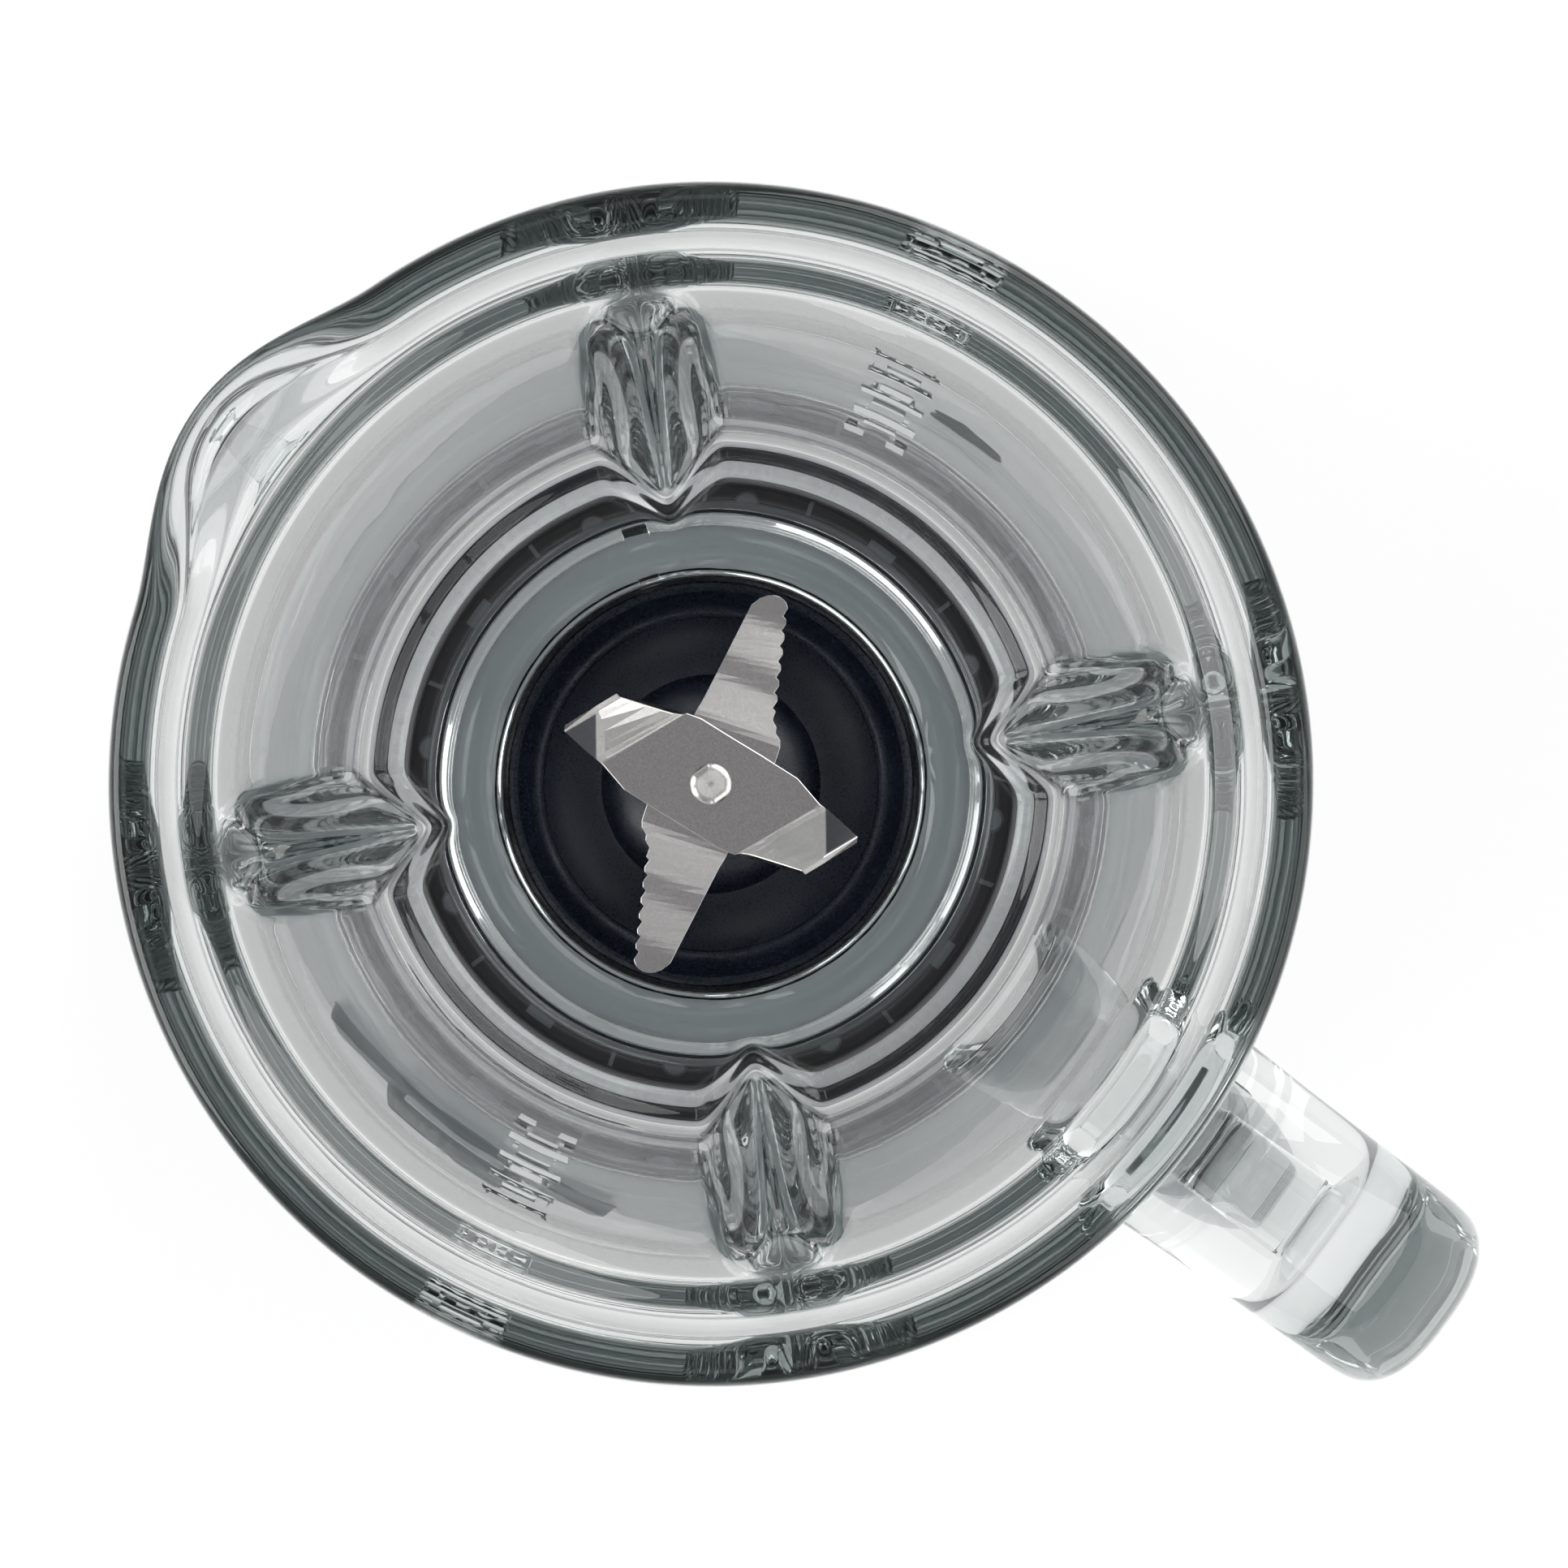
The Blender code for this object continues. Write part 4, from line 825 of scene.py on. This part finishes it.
PANEL_LEAN = -8.5
PANEL_FRAME = shift(0.0, -84.2, 62.0) @ turn(PANEL_LEAN, "X") @ turn(90.0, "X")
CORD_HEIGHT = 20.0
TO_THE_REAR = shift(0.0, 0.0, CORD_HEIGHT) @ turn(-90.0, "X")
SQUIRCLE_POINTS = 192
VENT_ROWS = 7
FOOT_REACH = 70.0
SCREW_REACH = 88.0
KNOB_DROP = -7.0
BUTTON_RISE = 20.0
KNOB_POINTS = 192
KNOB_GROOVES = 24
SPEED_STEPS = 6
DIAL_SWEEP = 150.0
DOT_CIRCLE = 19.2
NUMBER_CIRCLE = 21.4


def squircle(half_size, squareness):
    """Closed curve between a circle (squareness 2) and a square."""
    outline = []
    for step in range(SQUIRCLE_POINTS):
        x, y = polar(1.0, 360.0 * step / SQUIRCLE_POINTS)
        reach = (abs(x) ** squareness + abs(y) ** squareness) ** (-1.0 / squareness)
        outline.append((half_size * reach * x, half_size * reach * y))
    return outline


def blended_rings(stations, steps):
    """Smooth outlines between (height, half size, squareness) stations."""
    path = smooth_path([Vector(station) for station in stations], steps)
    return [(squircle(half_size, squareness), height) for height, half_size, squareness in path]


def on_panel(piece, rise=0.0):
    """Pieces for the front are made along +Z, which becomes the way out of the panel."""
    return place(piece, PANEL_FRAME @ shift(0.0, rise, 0.0))


def housing(looks):
    """Outer shell with its openings for the panel, the vents and the lead, and a groove near its foot."""
    outside = blended_rings([(9.0, 88.4, 3.0), (30.0, 87.3, 3.0), (60.0, 84.0, 3.0), (92.0, 78.0, 2.9),
                             (118.0, 71.5, 2.7), (138.0, 67.2, 2.25), (146.0, 65.8, 2.05),
                             (151.0, 64.4, 2.0)], 5)
    lower = [(squircle(86.6, 3.0), 4.8), (squircle(87.6, 3.0), 5.2), (squircle(88.2, 3.0), 6.6)]
    upper = [(squircle(64.0, 2.0), 151.6), (squircle(63.4, 2.0), 151.95), (squircle(62.9, 2.0), 152.0)]
    inside = [(squircle(size, shape), height) for height, size, shape in
              ((152.0, 59.3, 2.0), (148.6, 59.3, 2.0), (145.6, 62.6, 2.0), (117.0, 68.8, 2.4),
               (91.0, 75.2, 2.7), (30.0, 84.5, 3.0), (9.0, 85.7, 3.0), (4.8, 83.7, 3.0))]
    mesh = bmesh.new()
    rings = [[mesh.verts.new((x * MM, y * MM, height * MM)) for x, y in outline]
             for outline, height in lower + outside + upper + inside]
    for first, second in zip(rings, rings[1:] + rings[:1]):
        join_rings(mesh, first, second)
    shell = as_object("silver_housing", mesh, looks["silver_plastic"])
    opening = on_panel(prism("panel_opening", rounded_outline(34.3, 30.3, 9.3), -12.0, 12.0))
    gland = place(cylinder("gland_hole", 7.1, 75.0, 100.0, 48), TO_THE_REAR)
    groove = prism("groove", squircle(91.0, 3.0), 11.6, 12.8)
    carve(groove, [prism("groove_core", squircle(87.4, 3.0), 11.0, 13.4)])
    tools = [opening, gland, groove]
    for side in (-1, 1):
        for row in range(VENT_ROWS):
            slot = prism("vent_slot", rounded_outline(19.0, 1.3, 1.25, 6), -9.0, 9.0)
            wall = 84.0 - 0.44 * row
            stand = shift(side * wall, 10.0, 30.0 + 6.4 * row)
            tools.append(place(slot, stand @ turn(90.0) @ turn(90.0, "X")))
    carve(shell, tools, solver="EXACT")
    return stands_for(shell, "base", "silver_plastic", "base_housing")


def seat_liner(looks):
    """Lining of the well, with the coupling's pocket and four pillars for the motor."""
    profile = [(48.0, 153.6), (48.4, 154.0), (62.0, 154.0), (62.6, 153.7), (62.8, 153.1), (62.8, 152.3),
               (50.3, 152.3), (50.3, 136.8), (26.8, 136.8), (26.8, 123.4), (9.2, 123.4), (9.2, 126.0),
               (23.6, 126.0), (24.0, 126.4), (24.0, 139.5), (24.5, 140.0), (47.6, 140.0), (48.0, 140.4)]
    liner = turned("seat_liner", profile, looks["silver_plastic"], 160, 35.0)
    pillars = [place(cylinder("pillar", 5.0, 112.0, 138.0, 32), shift(*polar(34.0, angle), 0.0))
               for angle in RIB_ANGLES]
    carve(liner, pillars, "UNION")
    return stands_for(liner, "base", "silver_plastic", "jug_seat")


def scale_marks(looks):
    """Raised dots clockwise round the dial, growing with the speed, and a number beside each."""
    marks = []
    for step in range(SPEED_STEPS):
        angle = 90.0 - DIAL_SWEEP * step / (SPEED_STEPS - 1)
        size = 0.55 + 0.1 * step
        dot = turned("dot", [(0.0, 2.2), (size, 2.2), (size, 2.8), (size * 0.6, 3.0), (0.0, 3.05)], None, 20)
        x, y = polar(DOT_CIRCLE, angle)
        marks.append(place(dot, shift(x, y + KNOB_DROP, 0.0)))
        x, y = polar(NUMBER_CIRCLE, angle)
        marks.append(number(str(step), 2.4, x, y + KNOB_DROP, 2.4, 0.5))
    scale = dressed(merged("dial_scale", marks), looks["silver_plastic"])
    return stands_for(on_panel(scale), "base", "silver_plastic")


def number(text, size, x, y, base, height):
    """Solid numeral centred at (x, y), in mm."""
    curve = bpy.data.curves.new("number", "FONT")
    curve.body = text
    curve.size = size * MM
    curve.extrude = height / 2 * MM
    curve.align_x, curve.align_y = "CENTER", "CENTER"
    curve.resolution_u = 4
    made = bpy.data.objects.new("number", curve)
    bpy.context.collection.objects.link(made)
    mesh = bpy.data.meshes.new_from_object(made)
    bpy.data.objects.remove(made, do_unlink=True)
    solid = bpy.data.objects.new("number", mesh)
    bpy.context.collection.objects.link(solid)
    cleaned = bmesh.new()
    cleaned.from_mesh(mesh)
    bmesh.ops.remove_doubles(cleaned, verts=cleaned.verts, dist=1e-6)
    cleaned.to_mesh(mesh)
    cleaned.free()
    return place(solid, Matrix.Translation(Vector((x, y, base + height / 2)) * MM))


def dressed(piece, look):
    """Piece with a look in place of any it has."""
    piece.data.materials.clear()
    piece.data.materials.append(look)
    return piece


def panel(looks):
    """Front plate with the button's window, the dial's hole and a ring round the dial."""
    plate = lofted("front_panel", [(rounded_outline(half_x, half_y, corner), height)
                                   for half_x, half_y, corner, height in
                                   ((34.0, 30.0, 9.0, -4.5), (34.0, 30.0, 9.0, 1.9), (33.8, 29.8, 8.8, 2.35),
                                    (33.3, 29.3, 8.3, 2.6))], looks["black_plastic"])
    hollow = prism("panel_hollow", rounded_outline(31.6, 27.6, 7.0), -6.0, -0.4)
    hole = place(cylinder("spindle_hole", 3.8, -8.0, 8.0, 40), shift(0.0, KNOB_DROP, 0.0))
    window = place(prism("button_window", rounded_outline(12.4, 4.8, 2.6), -8.0, 8.0),
                   shift(0.0, BUTTON_RISE, 0.0))
    dish = turned("dial_dish", [(17.6, 2.2), (18.1, 2.2), (18.1, 8.0), (17.6, 8.0)], None, 96)
    place(dish, shift(0.0, KNOB_DROP, 0.0))
    carve(plate, [hollow, hole, window, dish])
    return stands_for(on_panel(plate), "base", "black_plastic", "control_panel")


def knob(looks):
    """Dial with finger grooves and a raised pointer."""
    layers = []
    for height, radius, depth in ((3.2, 16.6, 0.0), (3.5, 16.95, 0.0), (5.6, 17.0, 0.0), (6.2, 16.8, 0.35),
                                  (11.6, 15.7, 0.45), (12.5, 15.3, 0.35), (13.1, 14.7, 0.1),
                                  (13.4, 13.8, 0.0), (13.3, 12.4, 0.0), (13.0, 10.0, 0.0)):
        outline = []
        for step in range(KNOB_POINTS):
            angle = 360.0 * step / KNOB_POINTS
            wave = max(0.0, math.cos(math.radians(KNOB_GROOVES * angle)))
            outline.append(polar(radius - depth * wave, angle))
        layers.append((outline, height))
    body = lofted("speed_dial", layers, looks["black_plastic"], 35.0)
    carve(body, [cylinder("stem", 3.2, -5.4, 5.0, 40)], "UNION")
    stands_for(on_panel(body, KNOB_DROP), "dial", "black_plastic", "speed_knob")
    layers = []
    for half, height in ((1.4, 12.9), (1.4, 13.9), (1.25, 14.2), (0.95, 14.35)):
        bar = rounded_outline(half, 7.6 + half - 1.4, half * 0.9)
        layers.append(([(x, y + 6.6) for x, y in bar], height))
    pointer = lofted("dial_pointer", layers, looks["silver_plastic"])
    return stands_for(on_panel(pointer, KNOB_DROP), "dial", "silver_plastic")


def button(looks):
    """Pulse button with a flange behind the panel, a dished top and a pocket for its spring."""
    cap = lofted("pulse_cap", [(rounded_outline(half_x, half_y, corner), height)
                               for half_x, half_y, corner, height in
                               ((14.5, 6.5, 2.4, -3.4), (14.5, 6.5, 2.4, -1.8), (12.0, 4.4, 2.4, -1.79),
                                (12.0, 4.4, 2.4, 4.6), (11.8, 4.2, 2.2, 5.1), (11.3, 3.7, 1.7, 5.4),
                                (8.0, 2.2, 1.0, 5.15), (3.0, 0.9, 0.5, 5.0))], looks["silver_plastic"])
    carve(cap, [cylinder("spring_pocket", 3.3, -4.0, -0.6, 40)])
    return stands_for(on_panel(cap, BUTTON_RISE), "pulse", "silver_plastic", "pulse_button")


def underside(looks):
    """Vented cover, and the feet and screws that show under it."""
    cover = lofted("vented_cover", [(squircle(size, 3.0), height) for size, height in
                                    ((83.6, 1.5), (84.2, 1.9), (85.2, 4.2), (85.0, 4.5))],
                   looks["black_plastic"])
    pad = turned("pad", [(0.0, 0.0), (27.4, 0.0), (28.0, 0.5), (28.0, 2.5), (0.0, 2.5)], None, 96)
    carve(cover, [pad], "UNION")
    tools = []
    for angle in RIB_ANGLES:
        for radius, low, high, reach in ((9.3, -1.0, 2.8, FOOT_REACH), (2.3, -1.0, 6.0, SCREW_REACH),
                                         (4.3, -1.1, 3.0, SCREW_REACH)):
            tools.append(place(cylinder("pocket", radius, low, high, 48), shift(*polar(reach, angle), 0.0)))
    for side in range(4):
        for fan in (-16.0, 0.0, 16.0):
            slot = prism("slot", rounded_outline(10.0, 1.6, 1.55, 6), -1.2, 6.2)
            tools.append(place(slot, turn(side * 90.0 + fan) @ shift(46.0, 0.0, 0.0)))
    carve(cover, tools, solver="EXACT")
    stands_for(cover, "base", "black_plastic", "bottom_cover")
    foot_profile = [(0.0, -1.9), (1.8, -1.9), (2.2, -2.4), (4.4, -2.4), (4.8, -1.9), (5.6, -1.9), (6.0, -2.5),
                    (7.6, -2.5), (8.5, -2.1), (8.8, -1.4), (9.0, 2.5), (0.0, 2.5)]
    screw_profile = [(0.0, 1.4), (3.0, 1.4), (3.4, 1.7), (3.8, 2.7), (1.9, 2.7), (1.9, 14.0), (0.0, 15.5)]
    for name, angle in zip(("rear_right", "rear_left", "front_left", "front_right"), RIB_ANGLES):
        foot = turned(f"grip_foot_{name}", foot_profile, looks["rubber"], 64)
        place(foot, shift(*polar(FOOT_REACH, angle), 0.0))
        stands_for(foot, "base", "rubber", f"foot_{name}")
        screw = turned(f"cross_screw_{name}", screw_profile, looks["bright_steel"], 40)
        carve(screw, [prism("slot", rounded_outline(half_x, half_y, 0.1, 2), 0.9, 2.3)
                      for half_x, half_y in ((1.9, 0.4), (0.4, 1.9))])
        place(screw, shift(*polar(SCREW_REACH, angle), 0.0))
        stands_for(screw, "base", "bright_steel", f"cover_screw_{name}")


def lead_inlet(looks):
    """Ribbed grommet in the rear wall."""
    grommet = turned("ribbed_grommet", [(3.4, 80.0), (5.6, 80.0), (6.8, 83.0), (6.8, 89.0), (8.7, 89.0),
                                        (9.0, 89.4), (8.8, 90.4), (8.1, 90.6), (8.1, 91.3), (8.6, 91.6),
                                        (8.4, 92.4), (7.6, 92.9), (3.9, 93.5), (3.4, 93.2)],
                     looks["rubber"], 64)
    place(grommet, TO_THE_REAR)
    return stands_for(grommet, "base", "rubber", "cord_inlet")


def motor_base(looks):
    """Everything of the base that shows."""
    for make in (housing, seat_liner, panel, scale_marks, knob, button, underside, lead_inlet):
        make(looks)


# ---------------------------------------------------------------- carried-over nodes

def dress_nodes(looks):
    """Give each carried-over CAD node the look of its material slot."""
    for entry in frame["record"]["subparts"]:
        piece = bpy.data.objects.get(entry["node"])
        if piece and entry["material_slot"] in looks:
            dressed(piece, looks[entry["material_slot"]])


# ---------------------------------------------------------------- studio

SOFTBOXES = (("key_softbox", (-1.5, -1.5, 1.7), 2.0, 55.0),
             ("fill_softbox", (2.0, 0.3, 1.5), 2.2, 24.0),
             ("rear_softbox", (0.0, 2.0, 1.6), 2.0, 35.0))     # name, place, width, power
LIGHT_TARGET = (0.0, 0.0, 0.2)
LENS = 166.6
LENS_SHIFT = 0.0466
CAMERA_RISE = 0.9
CAMERA_TURN = 36.3
BOUNCES = 64


def floor_and_sky():
    """Pale glowing floor, and a soft sky that the camera sees as plain."""
    bpy.ops.mesh.primitive_plane_add(size=8.0, location=(0.0, 0.0, FLOOR_HEIGHT))
    floor = bpy.context.object
    floor.name = "studio_floor"
    look, tree, shader = shader_material("studio_floor")
    shader.inputs["Base Color"].default_value = (0.2, 0.2, 0.2, 1.0)
    shader.inputs["Roughness"].default_value = 0.7
    shader.inputs["Emission Color"].default_value = (1.0, 1.0, 1.0, 1.0)
    shader.inputs["Emission Strength"].default_value = 0.78
    floor.data.materials.append(look)

    world = bpy.data.worlds.new("studio")
    bpy.context.scene.world = world
    world.use_nodes = True
    tree = world.node_tree
    background = tree.nodes["Background"]
    coords = tree.nodes.new("ShaderNodeTexCoord")
    split = tree.nodes.new("ShaderNodeSeparateXYZ")
    ramp = tree.nodes.new("ShaderNodeValToRGB")
    tree.links.new(coords.outputs["Generated"], split.inputs["Vector"])
    spread = tree.nodes.new("ShaderNodeMapRange")
    spread.inputs["From Min"].default_value = -1.0
    tree.links.new(split.outputs["Z"], spread.inputs["Value"])
    tree.links.new(spread.outputs["Result"], ramp.inputs["Fac"])
    steps = ramp.color_ramp.elements
    steps[0].position, steps[0].color = 0.50, (0.40, 0.41, 0.41, 1.0)
    steps[1].position, steps[1].color = 0.992, (0.20, 0.20, 0.21, 1.0)
    middle = steps.new(0.75)
    middle.color = (0.42, 0.43, 0.44, 1.0)
    for position, level in ((0.90, 0.30), (0.958, 0.30), (0.967, 0.80), (0.984, 0.80)):
        steps.new(position).color = (level, level, level * 1.02, 1.0)
    path = tree.nodes.new("ShaderNodeLightPath")
    mix = tree.nodes.new("ShaderNodeMix")
    mix.data_type = "RGBA"
    tree.links.new(path.outputs["Is Camera Ray"], mix.inputs["Factor"])
    tree.links.new(ramp.outputs["Color"], mix.inputs["A"])
    mix.inputs["B"].default_value = (0.82, 0.83, 0.84, 1.0)
    tree.links.new(mix.outputs["Result"], background.inputs["Color"])


def studio():
    """Pale floor, soft sky and three soft lights."""
    floor_and_sky()
    for name, location, size, power in SOFTBOXES:
        light = bpy.data.lights.new(name, "AREA")
        light.shape = "SQUARE"
        light.size = size
        light.energy = power
        made = bpy.data.objects.new(name, light)
        bpy.context.collection.objects.link(made)
        made.location = location
        aim = Vector(LIGHT_TARGET) - Vector(location)
        made.rotation_euler = aim.to_track_quat("-Z", "Y").to_euler()


def camera():
    """Camera that looks straight down into the jug."""
    data = bpy.data.cameras.new("camera")
    data.sensor_width = 36.0
    data.lens = LENS
    data.shift_x = LENS_SHIFT
    made = bpy.data.objects.new("camera", data)
    bpy.context.collection.objects.link(made)
    made.location = (0.0, 0.0, RIM_TOP + CAMERA_RISE)
    made.rotation_euler = (0.0, 0.0, math.radians(CAMERA_TURN))
    bpy.context.scene.camera = made


def light_paths():
    """Enough bounces for the light that the glass rim and handle guide inside them."""
    settings = bpy.context.scene.cycles
    settings.max_bounces = BOUNCES
    settings.transmission_bounces = BOUNCES
    settings.glossy_bounces = BOUNCES
    settings.transparent_max_bounces = 16
    settings.blur_glossy = 0.5
    bpy.context.scene.view_settings.view_transform = "Standard"


camera()
studio()
light_paths()
LOOKS = all_looks()
dress_nodes(LOOKS)
glass_jug()
blades(LOOKS)
blade_seat(LOOKS)
collar(LOOKS)
collar_lip()
motor_base(LOOKS)
